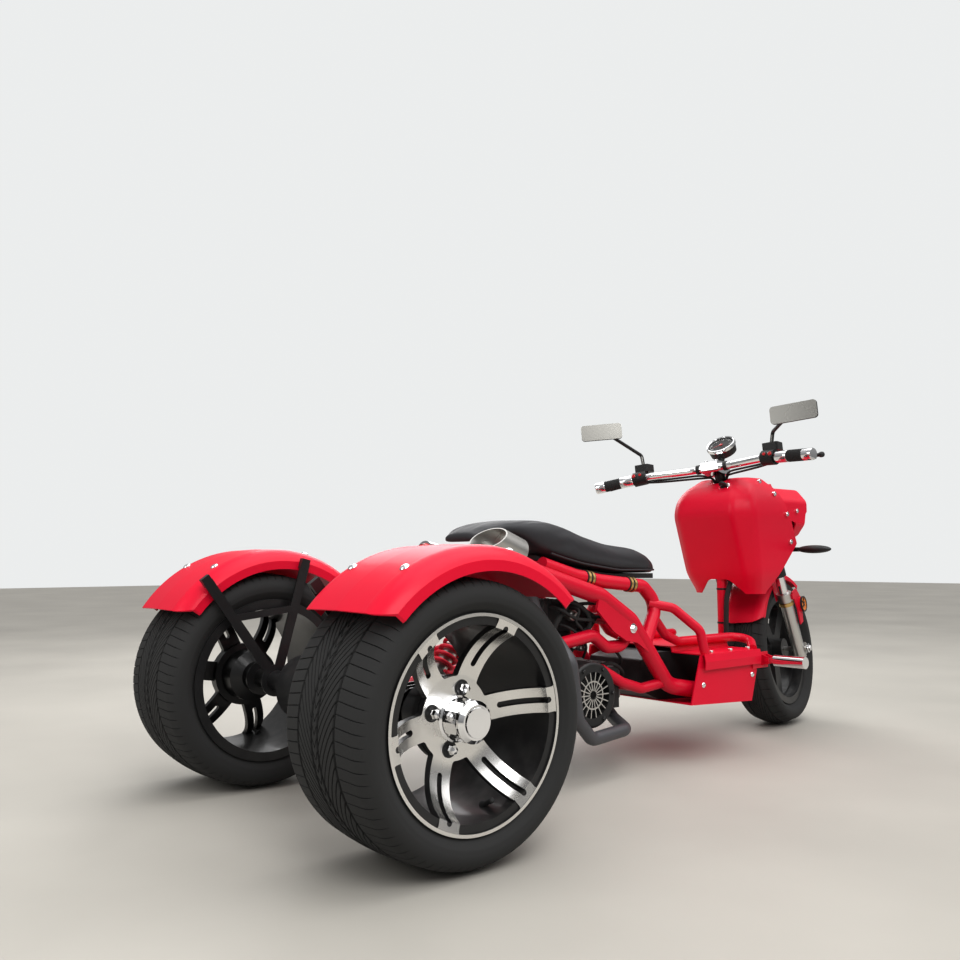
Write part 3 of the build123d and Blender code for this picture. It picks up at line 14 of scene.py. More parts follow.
import bmesh
import bpy
from mathutils import Matrix, Vector


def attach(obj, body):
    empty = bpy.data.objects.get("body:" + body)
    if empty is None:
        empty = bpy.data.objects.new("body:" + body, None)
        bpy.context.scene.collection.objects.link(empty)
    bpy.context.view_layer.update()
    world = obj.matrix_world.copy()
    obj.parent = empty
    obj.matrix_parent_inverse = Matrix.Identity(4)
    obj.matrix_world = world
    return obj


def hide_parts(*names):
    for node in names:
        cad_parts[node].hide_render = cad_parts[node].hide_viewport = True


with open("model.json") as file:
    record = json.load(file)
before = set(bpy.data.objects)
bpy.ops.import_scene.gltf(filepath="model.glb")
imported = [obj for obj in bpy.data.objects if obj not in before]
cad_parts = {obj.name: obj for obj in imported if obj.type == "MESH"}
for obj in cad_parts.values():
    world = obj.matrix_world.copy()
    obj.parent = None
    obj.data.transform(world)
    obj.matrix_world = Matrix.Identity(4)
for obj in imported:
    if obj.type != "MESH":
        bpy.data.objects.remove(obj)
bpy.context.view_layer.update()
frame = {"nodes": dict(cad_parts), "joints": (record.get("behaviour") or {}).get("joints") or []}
LOG = logging.getLogger("trike")
JOINTS = {joint["name"]: joint for joint in frame["joints"]}
NODES = frame["nodes"]

MM = 0.001
RIGHT = -1
LEFT = 1
SIDES = (RIGHT, LEFT)
SIDE_NAMES = {RIGHT: "right", LEFT: "left"}
PARKED_STEER = 13.4
GAUGE_FACING = (-0.62, 0.0, 0.78)
REAR_AXLE_X = JOINTS["rear_right_spin"]["pos_m"][0]
STEER_AT = Vector(JOINTS["steer"]["pos_m"])
STEER_UP = Vector(JOINTS["steer"]["axis"])
STEER_TURN = Matrix.Rotation(math.radians(PARKED_STEER), 4, STEER_UP)

Colour = tuple[float, float, float]
Profile = tuple[tuple[float, float], ...]
Point = Sequence[float]
Rule = Callable[[Vector, Vector], bool]


def station(x: float, y: float, z: float) -> Vector:
    """Point of the chassis in metres, from a station in millimetres."""
    return Vector((x * MM + REAR_AXLE_X, y * MM, z * MM))


def steered(x: float, y: float, z: float) -> Vector:
    """Point of the front end at its parked angle, from a straight-ahead station."""
    return STEER_AT + STEER_TURN @ (station(x, y, z) - STEER_AT)


class Grain(Enum):
    """Small surface texture of a finish."""

    PEEL = "peel"
    BRUSHED = "brushed"
    MOULDED = "moulded"
    LEATHER = "leather"
    CAST = "cast"


class NodeGroups:
    """Shader node groups that several finishes share, each built once."""

    def __init__(self) -> None:
        """Starts with no groups."""
        self._made: dict[str, bpy.types.NodeTree] = {}

    def _start(self, name: str, inputs: dict[str, float], outputs: Iterable[str]) -> bpy.types.NodeTree:
        """Makes an empty group.

        Args:
            name: Name of the group.
            inputs: Float inputs with their defaults.
            outputs: Names of the float outputs.

        Returns:
            The node tree with its input and output nodes.
        """
        tree = bpy.data.node_groups.new(name, "ShaderNodeTree")
        for socket, value in inputs.items():
            made = tree.interface.new_socket(name=socket, in_out="INPUT", socket_type="NodeSocketFloat")
            made.default_value = value
        for socket in outputs:
            tree.interface.new_socket(name=socket, in_out="OUTPUT", socket_type="NodeSocketFloat")
        tree.nodes.new("NodeGroupInput").name = "in"
        tree.nodes.new("NodeGroupOutput").name = "out"
        self._made[name] = tree
        return tree

    def mottle(self) -> bpy.types.NodeTree:
        """Slow variation of tone, from 0 to 1."""
        if "mottle" in self._made:
            return self._made["mottle"]
        tree = self._start("mottle", {"Scale": 6.0}, ["Tone"])
        coordinate = tree.nodes.new("ShaderNodeTexCoord")
        noise = tree.nodes.new("ShaderNodeTexNoise")
        noise.inputs["Detail"].default_value = 4.0
        tree.links.new(coordinate.outputs["Object"], noise.inputs["Vector"])
        tree.links.new(tree.nodes["in"].outputs["Scale"], noise.inputs["Scale"])
        tree.links.new(noise.outputs["Fac"], tree.nodes["out"].inputs["Tone"])
        return tree

    def dust(self) -> bpy.types.NodeTree:
        """Mask of dust that settles on faces that look up."""
        if "dust" in self._made:
            return self._made["dust"]
        tree = self._start("dust", {"Amount": 0.1, "Scale": 30.0}, ["Mask"])
        coordinate = tree.nodes.new("ShaderNodeTexCoord")
        noise = tree.nodes.new("ShaderNodeTexNoise")
        noise.inputs["Detail"].default_value = 6.0
        split = tree.nodes.new("ShaderNodeSeparateXYZ")
        facing = tree.nodes.new("ShaderNodeMapRange")
        facing.inputs["From Min"].default_value = -0.2
        facing.inputs["From Max"].default_value = 1.0
        speckle = tree.nodes.new("ShaderNodeMapRange")
        speckle.inputs["From Min"].default_value = 0.35
        speckle.inputs["From Max"].default_value = 0.8
        lying = tree.nodes.new("ShaderNodeMath")
        lying.operation = "MULTIPLY"
        amount = tree.nodes.new("ShaderNodeMath")
        amount.operation = "MULTIPLY"
        links = tree.links
        links.new(coordinate.outputs["Object"], noise.inputs["Vector"])
        links.new(tree.nodes["in"].outputs["Scale"], noise.inputs["Scale"])
        links.new(coordinate.outputs["Normal"], split.inputs["Vector"])
        links.new(split.outputs["Z"], facing.inputs["Value"])
        links.new(noise.outputs["Fac"], speckle.inputs["Value"])
        links.new(facing.outputs["Result"], lying.inputs[0])
        links.new(speckle.outputs["Result"], lying.inputs[1])
        links.new(lying.outputs["Value"], amount.inputs[0])
        links.new(tree.nodes["in"].outputs["Amount"], amount.inputs[1])
        links.new(amount.outputs["Value"], tree.nodes["out"].inputs["Mask"])
        return tree

    def grain(self, kind: Grain) -> bpy.types.NodeTree:
        """Height of one small surface texture.

        Args:
            kind: Which texture.

        Returns:
            A group with a Scale input and a Height output.
        """
        name = "grain_" + kind.value
        if name in self._made:
            return self._made[name]
        tree = self._start(name, {"Scale": 400.0}, ["Height"])
        coordinate = tree.nodes.new("ShaderNodeTexCoord")
        source = coordinate.outputs["Object"]
        if kind is Grain.BRUSHED:
            stretch = tree.nodes.new("ShaderNodeMapping")
            stretch.inputs["Scale"].default_value = (0.06, 1.0, 1.0)
            tree.links.new(source, stretch.inputs["Vector"])
            source = stretch.outputs["Vector"]
        if kind is Grain.LEATHER:
            texture = tree.nodes.new("ShaderNodeTexVoronoi")
            texture.feature = "DISTANCE_TO_EDGE"
            result = texture.outputs["Distance"]
        else:
            texture = tree.nodes.new("ShaderNodeTexNoise")
            texture.inputs["Detail"].default_value = 2.0 if kind is Grain.PEEL else 6.0
            result = texture.outputs["Fac"]
        tree.links.new(source, texture.inputs["Vector"])
        tree.links.new(tree.nodes["in"].outputs["Scale"], texture.inputs["Scale"])
        tree.links.new(result, tree.nodes["out"].inputs["Height"])
        return tree


GROUPS = NodeGroups()


@dataclass(frozen=True)
class Finish:
    """One surface finish, with its grain, tone variation and dust."""

    name: str
    colour: Colour
    roughness: float
    metallic: float = 0.0
    coat: float = 0.0
    specular: float = 0.5
    grain: Grain = Grain.PEEL
    grain_scale: float = 350.0
    bump: float = 0.05
    bump_mm: float = 0.3
    mottle: float = 0.12
    mottle_scale: float = 7.0
    rough_swing: float = 0.10
    dust: float = 0.05
    dust_colour: Colour = (0.42, 0.40, 0.37)
    coat_roughness: float = 0.12
    least_roughness: float = 0.02

    def material(self) -> bpy.types.Material:
        """The Blender material of this finish, made at its first use."""
        found = bpy.data.materials.get(self.name)
        if found:
            return found
        made = bpy.data.materials.new(self.name)
        made.use_nodes = True
        made.diffuse_color = (*self.colour, 1.0)
        nodes, links = made.node_tree.nodes, made.node_tree.links
        shader = nodes["Principled BSDF"]
        shader.inputs["Metallic"].default_value = self.metallic
        shader.inputs["Coat Weight"].default_value = self.coat
        shader.inputs["Coat Roughness"].default_value = self.coat_roughness
        shader.inputs["Specular IOR Level"].default_value = self.specular
        mottle = self._group(nodes, GROUPS.mottle(), Scale=self.mottle_scale)
        dust = self._group(nodes, GROUPS.dust(), Amount=self.dust)
        grain = self._group(nodes, GROUPS.grain(self.grain), Scale=self.grain_scale)
        tone = nodes.new("ShaderNodeMix")
        tone.data_type = "RGBA"
        tone.inputs["A"].default_value = (*(c * (1 - self.mottle) for c in self.colour), 1.0)
        tone.inputs["B"].default_value = (*(min(1.0, c * (1 + self.mottle)) for c in self.colour), 1.0)
        links.new(mottle.outputs["Tone"], tone.inputs["Factor"])
        dusted = nodes.new("ShaderNodeMix")
        dusted.data_type = "RGBA"
        dusted.inputs["B"].default_value = (*self.dust_colour, 1.0)
        links.new(dust.outputs["Mask"], dusted.inputs["Factor"])
        links.new(tone.outputs["Result"], dusted.inputs["A"])
        links.new(dusted.outputs["Result"], shader.inputs["Base Color"])
        rough = nodes.new("ShaderNodeMapRange")
        rough.inputs["To Min"].default_value = max(self.least_roughness, self.roughness - self.rough_swing)
        rough.inputs["To Max"].default_value = min(1.0, self.roughness + self.rough_swing)
        links.new(mottle.outputs["Tone"], rough.inputs["Value"])
        links.new(rough.outputs["Result"], shader.inputs["Roughness"])
        bump = nodes.new("ShaderNodeBump")
        bump.inputs["Strength"].default_value = self.bump
        bump.inputs["Distance"].default_value = self.bump_mm * MM
        links.new(grain.outputs["Height"], bump.inputs["Height"])
        links.new(bump.outputs["Normal"], shader.inputs["Normal"])
        return made

    @staticmethod
    def _group(nodes: bpy.types.Nodes, tree: bpy.types.NodeTree, **values: float) -> bpy.types.Node:
        """Places a node group with its own values."""
        node = nodes.new("ShaderNodeGroup")
        node.node_tree = tree
        for socket, value in values.items():
            node.inputs[socket].default_value = value
        return node


RED = Finish("red_enamel", (0.74, 0.002, 0.038), 0.44, coat=0.08, specular=0.30, bump=0.05, mottle=0.05,
             dust=0.01)
RED_TUBE = Finish("red_tube_enamel", (0.68, 0.002, 0.034), 0.36, coat=0.14, specular=0.35, bump=0.07,
                  mottle=0.07, dust=0.015)
BLACK_STEEL = Finish("black_enamel", (0.012, 0.012, 0.013), 0.38, coat=0.2, mottle=0.3, dust=0.10)
BLACK_PLASTIC = Finish("black_moulding", (0.016, 0.016, 0.017), 0.46, grain=Grain.MOULDED, grain_scale=900,
                       bump=0.18, mottle=0.3, dust=0.10)
TYRE = Finish("tyre_rubber", (0.0085, 0.0085, 0.009), 0.38, specular=0.42, grain=Grain.CAST,
              grain_scale=700, bump=0.14, mottle=0.35, mottle_scale=14, dust=0.07,
              dust_colour=(0.10, 0.095, 0.088))
GRIP = Finish("grip_rubber", (0.014, 0.014, 0.015), 0.66, grain=Grain.MOULDED, grain_scale=1200, bump=0.25,
              dust=0.06)
VINYL = Finish("seat_vinyl", (0.009, 0.010, 0.013), 0.40, grain=Grain.LEATHER, grain_scale=420, bump=0.22,
               bump_mm=0.5, mottle=0.25, dust=0.05)
MACHINED = Finish("machined_alloy", (0.78, 0.77, 0.75), 0.26, metallic=1.0, grain=Grain.BRUSHED,
                  grain_scale=900, bump=0.10, mottle=0.08, dust=0.03)
BLACK_ALLOY = Finish("black_alloy", (0.010, 0.010, 0.011), 0.42, coat=0.3, grain=Grain.CAST,
                     grain_scale=500, bump=0.08, mottle=0.3, dust=0.12)
CHROME = Finish("chrome_plate", (0.86, 0.86, 0.87), 0.08, metallic=1.0, rough_swing=0.04, bump=0.02,
                mottle=0.04, dust=0.02)
SILVER = Finish("satin_alloy", (0.62, 0.61, 0.59), 0.34, metallic=1.0, grain=Grain.CAST, grain_scale=700,
                bump=0.10, dust=0.06)
ENGINE_GREY = Finish("engine_casting", (0.27, 0.27, 0.27), 0.52, metallic=0.85, grain=Grain.CAST,
                     grain_scale=420, bump=0.30, mottle=0.25, dust=0.15)
EXHAUST = Finish("exhaust_grey", (0.115, 0.112, 0.108), 0.58, metallic=0.4, grain=Grain.CAST,
                 grain_scale=500, bump=0.2, mottle=0.3, dust=0.12)
SPRING_RED = Finish("spring_red", (0.60, 0.006, 0.026), 0.24, coat=0.5, bump=0.04)
SATIN = Finish("muffler_satin", (0.52, 0.51, 0.49), 0.36, metallic=1.0, grain=Grain.BRUSHED,
               grain_scale=700, bump=0.08, mottle=0.15, dust=0.04)
GOLD = Finish("gold_zinc", (0.62, 0.44, 0.18), 0.32, metallic=1.0, grain=Grain.CAST, bump=0.08, dust=0.05)
MIRROR = Finish("mirror_glass", (0.24, 0.235, 0.22), 0.28, metallic=1.0, rough_swing=0.04, bump=0.03,
                mottle=0.06, dust=0.05)
AMBER = Finish("amber_lens", (0.85, 0.24, 0.015), 0.18, coat=0.6, bump=0.10, grain_scale=600)
RED_LENS = Finish("red_lens", (0.55, 0.008, 0.012), 0.14, coat=0.7, bump=0.10, grain_scale=600)
CLEAR_LENS = Finish("lamp_lens", (0.80, 0.82, 0.84), 0.10, metallic=0.5, coat=0.8, bump=0.15,
                    grain_scale=300)
DIAL = Finish("dial_black", (0.01, 0.01, 0.011), 0.5, bump=0.02)
DIAL_WHITE = Finish("dial_white", (0.78, 0.78, 0.76), 0.5, bump=0.02)
CONCRETE = Finish("pale_floor", (0.47, 0.45, 0.41), 0.62, grain=Grain.CAST, grain_scale=60, bump=0.12,
                  bump_mm=1.0, mottle=0.16, mottle_scale=1.3, dust=0.0)


def mesh_piece(name: str, points: Sequence[Point], faces: Sequence[Sequence[int]], finish: Finish,
               sharp_deg: float = 32.0) -> bpy.types.Object:
    """New mesh object with one finish and smooth shading up to an edge angle.

    Args:
        name: Name of the piece.
        points: Vertices in metres.
        faces: Vertex indices of each face.
        finish: Its finish.
        sharp_deg: Edges that bend more than this stay sharp.

    Returns:
        The linked object.
    """
    mesh = bpy.data.meshes.new(name)
    mesh.from_pydata([tuple(p) for p in points], [], [tuple(f) for f in faces])
    made = bpy.data.objects.new(name, mesh)
    bpy.context.scene.collection.objects.link(made)
    mesh.materials.append(finish.material())
    form = bmesh.new()
    form.from_mesh(mesh)
    bmesh.ops.recalc_face_normals(form, faces=form.faces)
    form.to_mesh(mesh)
    form.free()
    mesh.shade_smooth()
    mesh.set_sharp_from_angle(angle=math.radians(sharp_deg))
    return made


def settle(piece: bpy.types.Object, body: str) -> bpy.types.Object:
    """Lets a piece ride on a body, and logs it."""
    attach(piece, body)
    LOG.info("piece %s on %s: %d faces", piece.name, body, len(piece.data.polygons))
    return piece


def square_to(axis: Vector) -> tuple[Vector, Vector]:
    """Two unit vectors square to an axis and to each other."""
    helper = Vector((0, 0, 1)) if abs(axis.z) < 0.9 else Vector((1, 0, 0))
    across = axis.cross(helper).normalized()
    return across, axis.cross(across).normalized()


@dataclass
class Soup:
    """Vertices and faces that are gathered into one joined mesh."""

    points: list[Vector] = field(default_factory=list)
    faces: list[list[int]] = field(default_factory=list)

    def grid(self, rows: Sequence[Sequence[Vector]], around: bool = True, ends: bool = False) -> None:
        """Adds a skin over rows of points.

        Args:
            rows: Rows of equal length.
            around: Whether each row closes on itself.
            ends: Whether the first and last rows are capped.
        """
        base = len(self.points)
        width = len(rows[0])
        for row in rows:
            self.points.extend(row)
        for r in range(len(rows) - 1):
            for c in range(width if around else width - 1):
                d = (c + 1) % width
                low, high = base + r * width, base + (r + 1) * width
                self.faces.append([low + c, low + d, high + d, high + c])
        if ends:
            self.faces.append([base + c for c in reversed(range(width))])
            self.faces.append([base + (len(rows) - 1) * width + c for c in range(width)])

    def lathe(self, origin: Vector, axis: Vector, profile: Sequence[tuple[float, float]], sides: int = 24,
              phase: float = 0.0) -> None:
        """Adds a turned form.

        Args:
            origin: Point where the height is nought.
            axis: Direction of the axis.
            profile: (radius, height) pairs in metres, from one end to the other.
            sides: Points round the axis, so 6 gives a hexagon.
            phase: Turn of the first point in radians.
        """
        axis = axis.normalized()
        u, v = square_to(axis)
        rows = []
        for radius, height in profile:
            ring = [phase + math.tau * k / sides for k in range(sides)]
            rows.append([origin + axis * height + (u * math.cos(a) + v * math.sin(a)) * radius for a in ring])
        self.grid(rows, ends=True)

    def pipe(self, line: Sequence[Vector], radius: float, sides: int = 12) -> None:
        """Adds a round bar along a line of points."""
        rows = []
        u = None
        for k, point in enumerate(line):
            along = (line[min(k + 1, len(line) - 1)] - line[max(k - 1, 0)]).normalized()
            u = square_to(along)[0] if u is None else (u - along * u.dot(along)).normalized()
            v = along.cross(u)
            ring = [math.tau * c / sides for c in range(sides)]
            rows.append([point + (u * math.cos(a) + v * math.sin(a)) * radius for a in ring])
        self.grid(rows, ends=True)

    def piece(self, name: str, finish: Finish, sharp_deg: float = 32.0) -> bpy.types.Object:
        """The gathered mesh as an object."""
        return mesh_piece(name, self.points, self.faces, finish, sharp_deg)


def along_table(table: Sequence[tuple[float, float]], at: float) -> float:
    """Value of a table of pairs at one place, held at its ends."""
    if at <= table[0][0]:
        return table[0][1]
    for (start, low), (end, high) in zip(table, table[1:]):
        if at <= end:
            return low + (high - low) * (at - start) / (end - start)
    return table[-1][1]


def eased(table: Sequence[tuple[float, float]], at: float, reach: float) -> float:
    """Value of a table with its corners rounded off over a reach to each side."""
    low, high = table[0][0], table[-1][0]
    spots = [min(high, max(low, at + reach * k / 3)) for k in range(-3, 4)]
    return sum(along_table(table, spot) for spot in spots) / len(spots)


def flowing(points: Sequence[Vector], steps: int = 8) -> list[Vector]:
    """Smooth line through points.

    Args:
        points: Points that the line passes through.
        steps: Pieces between one point and the next.

    Returns:
        Points along the line.
    """
    line = []
    for k in range(len(points) - 1):
        before = points[max(k - 1, 0)]
        start, end = points[k], points[k + 1]
        after = points[min(k + 2, len(points) - 1)]
        for step in range(steps):
            t = step / steps
            line.append(0.5 * (2 * start + (end - before) * t
                               + (2 * before - 5 * start + 4 * end - after) * t**2
                               + (3 * start - before - 3 * end + after) * t**3))
    return line + [points[-1]]


def band(radius: float, rise: float, half: float, flat: float,
         middle: float = 0.0) -> list[tuple[float, float]]:
    """Profile of a ring band with sloping flanks.

    Args:
        radius: Radius of its foot in metres.
        rise: How far its top stands out.
        half: Half its length at the foot.
        flat: Half its length at the top.
        middle: Height of its middle.

    Returns:
        Pairs of radius and height.
    """
    top = radius + rise
    return [(radius, middle - half), (top, middle - flat), (top, middle + flat), (radius, middle + half)]


def dress(node: str, finish: Finish, areas: Sequence[tuple[Finish, Rule]] = ()) -> None:
    """Gives a solid its finish, and other finishes to some of its faces.

    Args:
        node: Name of the solid.
        finish: Finish of every face that no area takes.
        areas: Pairs of a finish and a rule on a face's centre and normal.
    """
    mesh = NODES[node].data
    mesh.materials.clear()
    mesh.materials.append(finish.material())
    for area_finish, _ in areas:
        mesh.materials.append(area_finish.material())
    for face in mesh.polygons:
        face.material_index = 0
        for index, (_, rule) in enumerate(areas, start=1):
            if rule(face.center, face.normal):
                face.material_index = index
                break
    LOG.info("node %s: %s", node, finish.name)


@dataclass
class Tread:
    """Grooves of a directional tyre: long blades in the middle, short sipes on the shoulders, plain rings."""

    pitches: int
    depth_mm: float
    sweep_deg: float
    rings_mm: tuple[float, ...]
    ring_mm: float
    blade_share: float = 0.60
    blade_half: float = 0.13
    sipe_half: float = 0.055
    sipe_end: float = 1.34
    lean_deg: float = 2.5
    ring_reach: float = 1.05
    ring_share: float = 0.42
    blade_depth: float = 0.8
    sipe_depth: float = 0.7
    sipe_fade: float = 0.2
    sipe_flank: float = 0.012
    blade_flank: float = 0.03
    land: float = 0.36
    lead_power: float = 1.15


@dataclass
class Tyre:
    """Tyre ring with crowned tread, round shoulders and plain sidewalls."""

    node: str
    body: str
    centre: Vector
    axis: Vector
    radius: float
    width: float
    bead_r: float
    bead_half: float
    tread_share: float
    crown_drop: float
    tread: Tread
    flow: int = 1
    bulge_share: float = 0.55
    lip_share: float = 0.2
    row_mm: float = 4.5
    apart_mm: float = 1.5
    wall_steps: int = 9
    wall_power: float = 1.9
    rib_mm: float = 0.9
    rib_steps: tuple[int, ...] = (3, 4)
    bead_gap_mm: float = 0.3
    sharp_deg: float = 38.0

    def rows(self) -> list[tuple[float, float, float]]:
        """Rows of the section as (radius, offset, share across the tread), in millimetres.

        Returns:
            Rows from the bead on one side to the bead on the other; the share is over 1 on the sidewalls.
        """
        half = self.width / 2
        tread = half * self.tread_share
        edge_r = self.radius - self.crown_drop
        bulge_r = self.bead_r + (self.radius - self.bead_r) * self.bulge_share
        lip_r = self.bead_r + (self.radius - self.bead_r) * self.lip_share
        marks = {0.0, tread}
        for ring in self.tread.rings_mm:
            for step in (-0.5, -0.3, 0.3, 0.5):
                marks.add(ring + step * self.tread.ring_mm)
        count = int(tread / self.row_mm)
        for k in range(1, count):
            offset = tread * k / count
            if all(abs(offset - mark) > self.apart_mm for mark in marks):
                marks.add(offset)
        side = [(self.radius - self.crown_drop * (y / tread) ** 2, y, y / tread) for y in sorted(marks)]
        for k in range(1, self.wall_steps + 1):
            turn = math.pi / 2 * k / self.wall_steps
            radius = edge_r - (edge_r - bulge_r) * (1 - math.cos(turn))
            side.append((radius, tread + (half - tread) * math.sin(turn), 1.0 + 0.5 * k / self.wall_steps))
        for k in range(1, self.wall_steps + 1):
            drop = k / self.wall_steps
            rib = self.rib_mm if k in self.rib_steps else 0.0
            offset = half - (half - self.bead_half) * drop**self.wall_power + rib
            side.append((bulge_r - (bulge_r - lip_r) * drop, offset, 2.0))
        side.append((self.bead_r + self.bead_gap_mm, self.bead_half, 2.0))
        other = [(r, -y, -share) for r, y, share in reversed(side) if share > 0]
        return other + side

    def cut(self, share: float, offset: float, phase: float) -> float:
        """Depth of the grooves at one place, in millimetres.

        Args:
            share: Place across the tread, 1 at its edge.
            offset: Place across the tread in millimetres.
            phase: Distance from the nearest groove line as a share of the pitch.

        Returns:
            How far the surface is sunk.
        """
        spec = self.tread
        near = spec.ring_mm * spec.ring_share
        if share <= spec.ring_reach and any(abs(abs(offset) - ring) < near for ring in spec.rings_mm):
            return spec.depth_mm
        if share < spec.blade_share and phase <= spec.blade_half:
            return spec.depth_mm * spec.blade_depth
        if spec.blade_share <= share < spec.sipe_end and phase <= spec.sipe_half:
            return spec.depth_mm * min(spec.sipe_depth, (spec.sipe_end - share) / spec.sipe_fade)
        return 0.0

    def build(self) -> bpy.types.Object:
        """Builds the tyre in place of its plain solid.

        Returns:
            The piece, riding on its wheel.
        """
        spec = self.tread
        pitch = math.tau / spec.pitches
        half = (0.0, spec.sipe_half, spec.sipe_half + spec.sipe_flank, spec.blade_half,
                spec.blade_half + spec.blade_flank, spec.land)
        steps = [*half, 0.5, *(1 - step for step in reversed(half[1:]))]
        u, v = square_to(self.axis)
        soup = Soup()
        grid = []
        for radius, offset, share in self.rows():
            reach = abs(share)
            bend = max(0.0, 1 - reach / spec.blade_share) ** spec.lead_power
            lead = -math.radians(spec.sweep_deg) * bend * self.flow
            lean = -math.radians(spec.lean_deg) * min(reach, spec.sipe_end) * self.flow
            row = []
            for index in range(spec.pitches):
                for step in steps:
                    angle = (index + step) * pitch + lead + lean
                    sunk = self.cut(reach, offset, min(step, 1 - step) + 0.0001)
                    out = (u * math.cos(angle) + v * math.sin(angle)) * (radius - sunk) * MM
                    row.append(self.centre + self.axis * (offset * MM) + out)
            grid.append(row)
        soup.grid(grid)
        piece = soup.piece(self.node + "_tread", TYRE, self.sharp_deg)
        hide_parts(self.node)
        return settle(piece, self.body)


@dataclass
class RearWheel:
    """Dressing of one rear wheel: machined face, lug nuts, cap facets, valve and tyre."""

    side: int
    face_mm: float = 55.0
    lug_circle_mm: float = 55.0
    lug_count: int = 4
    lug_phase_deg: float = 75.0
    cap_out_mm: float = 120.0
    sunk_r_mm: float = 171.0
    sunk_out_mm: float = 123.5
    face_lean: float = 0.30
    pad_r_mm: float = 30.0
    seat_profile: Profile = ((0.0155, -0.001), (0.0155, 0.0012), (0.0130, 0.0018), (0.0110, 0.0006))
    nut_profile: Profile = ((0.0092, 0.0), (0.0092, 0.013), (0.0076, 0.017), (0.0030, 0.019))
    valve_profile: Profile = ((0.0075, -0.002), (0.0068, 0.004), (0.0042, 0.010), (0.0042, 0.026),
                              (0.0050, 0.027), (0.0050, 0.036), (0.0030, 0.038))
    valve_deg: float = 290.0
    valve_r_m: float = 0.1715
    valve_out_m: float = 0.062

    def build(self) -> None:
        """Dresses the rim, hub and cap and builds the small pieces and the tyre."""
        name = SIDE_NAMES[self.side]
        body = f"rear_{name}_wheel"
        joint = JOINTS[f"rear_{name}_spin"]
        centre = Vector(joint["pos_m"])
        out = Vector((0, self.side, 0))
        rim = f"rear_{name}_rim"

        def on_face(place: Vector, normal: Vector) -> bool:
            """Whether a face of the rim is on its spokes, hub pad or outer ring."""
            radius = math.hypot(place.x - centre.x, place.z - centre.z) / MM
            out_mm = (place.y - centre.y) * self.side / MM
            sunk = radius > self.sunk_r_mm and normal.y * self.side > 0.99 and out_mm < self.sunk_out_mm
            return normal.y * self.side > self.face_lean and radius > self.pad_r_mm and not sunk

        dress(rim, BLACK_ALLOY, [(MACHINED, on_face)])
        dress(f"rear_{name}_hub", BLACK_STEEL)
        dress(f"rear_{name}_cap", CHROME)
        face = centre + out * (self.face_mm * MM)
        self._lugs(body, face, out)
        self._cap(body, face, out)
        self._valve(body, centre, out)
        tread = Tread(pitches=76, depth_mm=4.5, sweep_deg=25.0, rings_mm=(10.0, 60.0), ring_mm=7.0)
        Tyre(f"rear_{name}_tyre", body, centre, out, radius=259, width=270, bead_r=178, bead_half=119.8,
             tread_share=0.74, crown_drop=6, tread=tread, flow=self.side).build()

    def _lugs(self, body: str, face: Vector, out: Vector) -> None:
        """Hexagon lug nuts in black seats on the hub pad."""
        nuts, seats = Soup(), Soup()
        for k in range(self.lug_count):
            angle = math.radians(self.lug_phase_deg) + math.tau * k / self.lug_count
            place = face + Vector((math.cos(angle), 0, math.sin(angle))) * (self.lug_circle_mm * MM)
            seats.lathe(place, out, self.seat_profile)
            nuts.lathe(place, out, self.nut_profile, 6)
        settle(seats.piece(f"{body}_lug_seats", BLACK_STEEL), body)
        settle(nuts.piece(f"{body}_lug_nuts", CHROME, 25), body)

    def _cap(self, body: str, face: Vector, out: Vector) -> None:
        """Flats and a raised ring on the chrome centre cap."""
        ring = Soup()
        height = (self.cap_out_mm - self.face_mm) * MM
        flats = [(0.0384, 0.012), (0.0392, 0.014), (0.0392, height - 0.016), (0.0375, height - 0.012)]
        crown = [(0.0270, height - 0.0010), (0.0262, height + 0.0012), (0.0200, height + 0.0012)]
        ring.lathe(face, out, flats, 12)
        ring.lathe(face, out, crown, 32)
        settle(ring.piece(f"{body}_cap_flats", CHROME, 20), body)

    def _valve(self, body: str, centre: Vector, out: Vector) -> None:
        """Rubber valve stem with a cap, in the barrel."""
        stem = Soup()
        angle = math.radians(self.valve_deg)
        radial = Vector((math.cos(angle), 0, math.sin(angle)))
        start = centre + radial * self.valve_r_m + out * self.valve_out_m
        lean = (out * 0.9 - radial * 0.45).normalized()
        stem.lathe(start, lean, self.valve_profile, 14)
        settle(stem.piece(f"{body}_valve", GRIP), body)


@dataclass
class FrontWheel:
    """Dressing of the front wheel and its tyre."""

    radius_mm: float = 243.0
    width_mm: float = 130.0

    def build(self) -> None:
        """Dresses rim and disc and builds the tyre."""
        joint = JOINTS["front_wheel_spin"]
        dress("front_rim", BLACK_ALLOY)
        dress("brake_disc", SILVER)
        tread = Tread(pitches=40, depth_mm=4.0, sweep_deg=34.0, rings_mm=(28.0,), ring_mm=5.0)
        Tyre("front_tyre", "front_wheel", Vector(joint["pos_m"]), Vector(joint["axis"]).normalized(),
             radius=self.radius_mm, width=self.width_mm, bead_r=165, bead_half=41.8, tread_share=0.72,
             crown_drop=13, tread=tread).build()


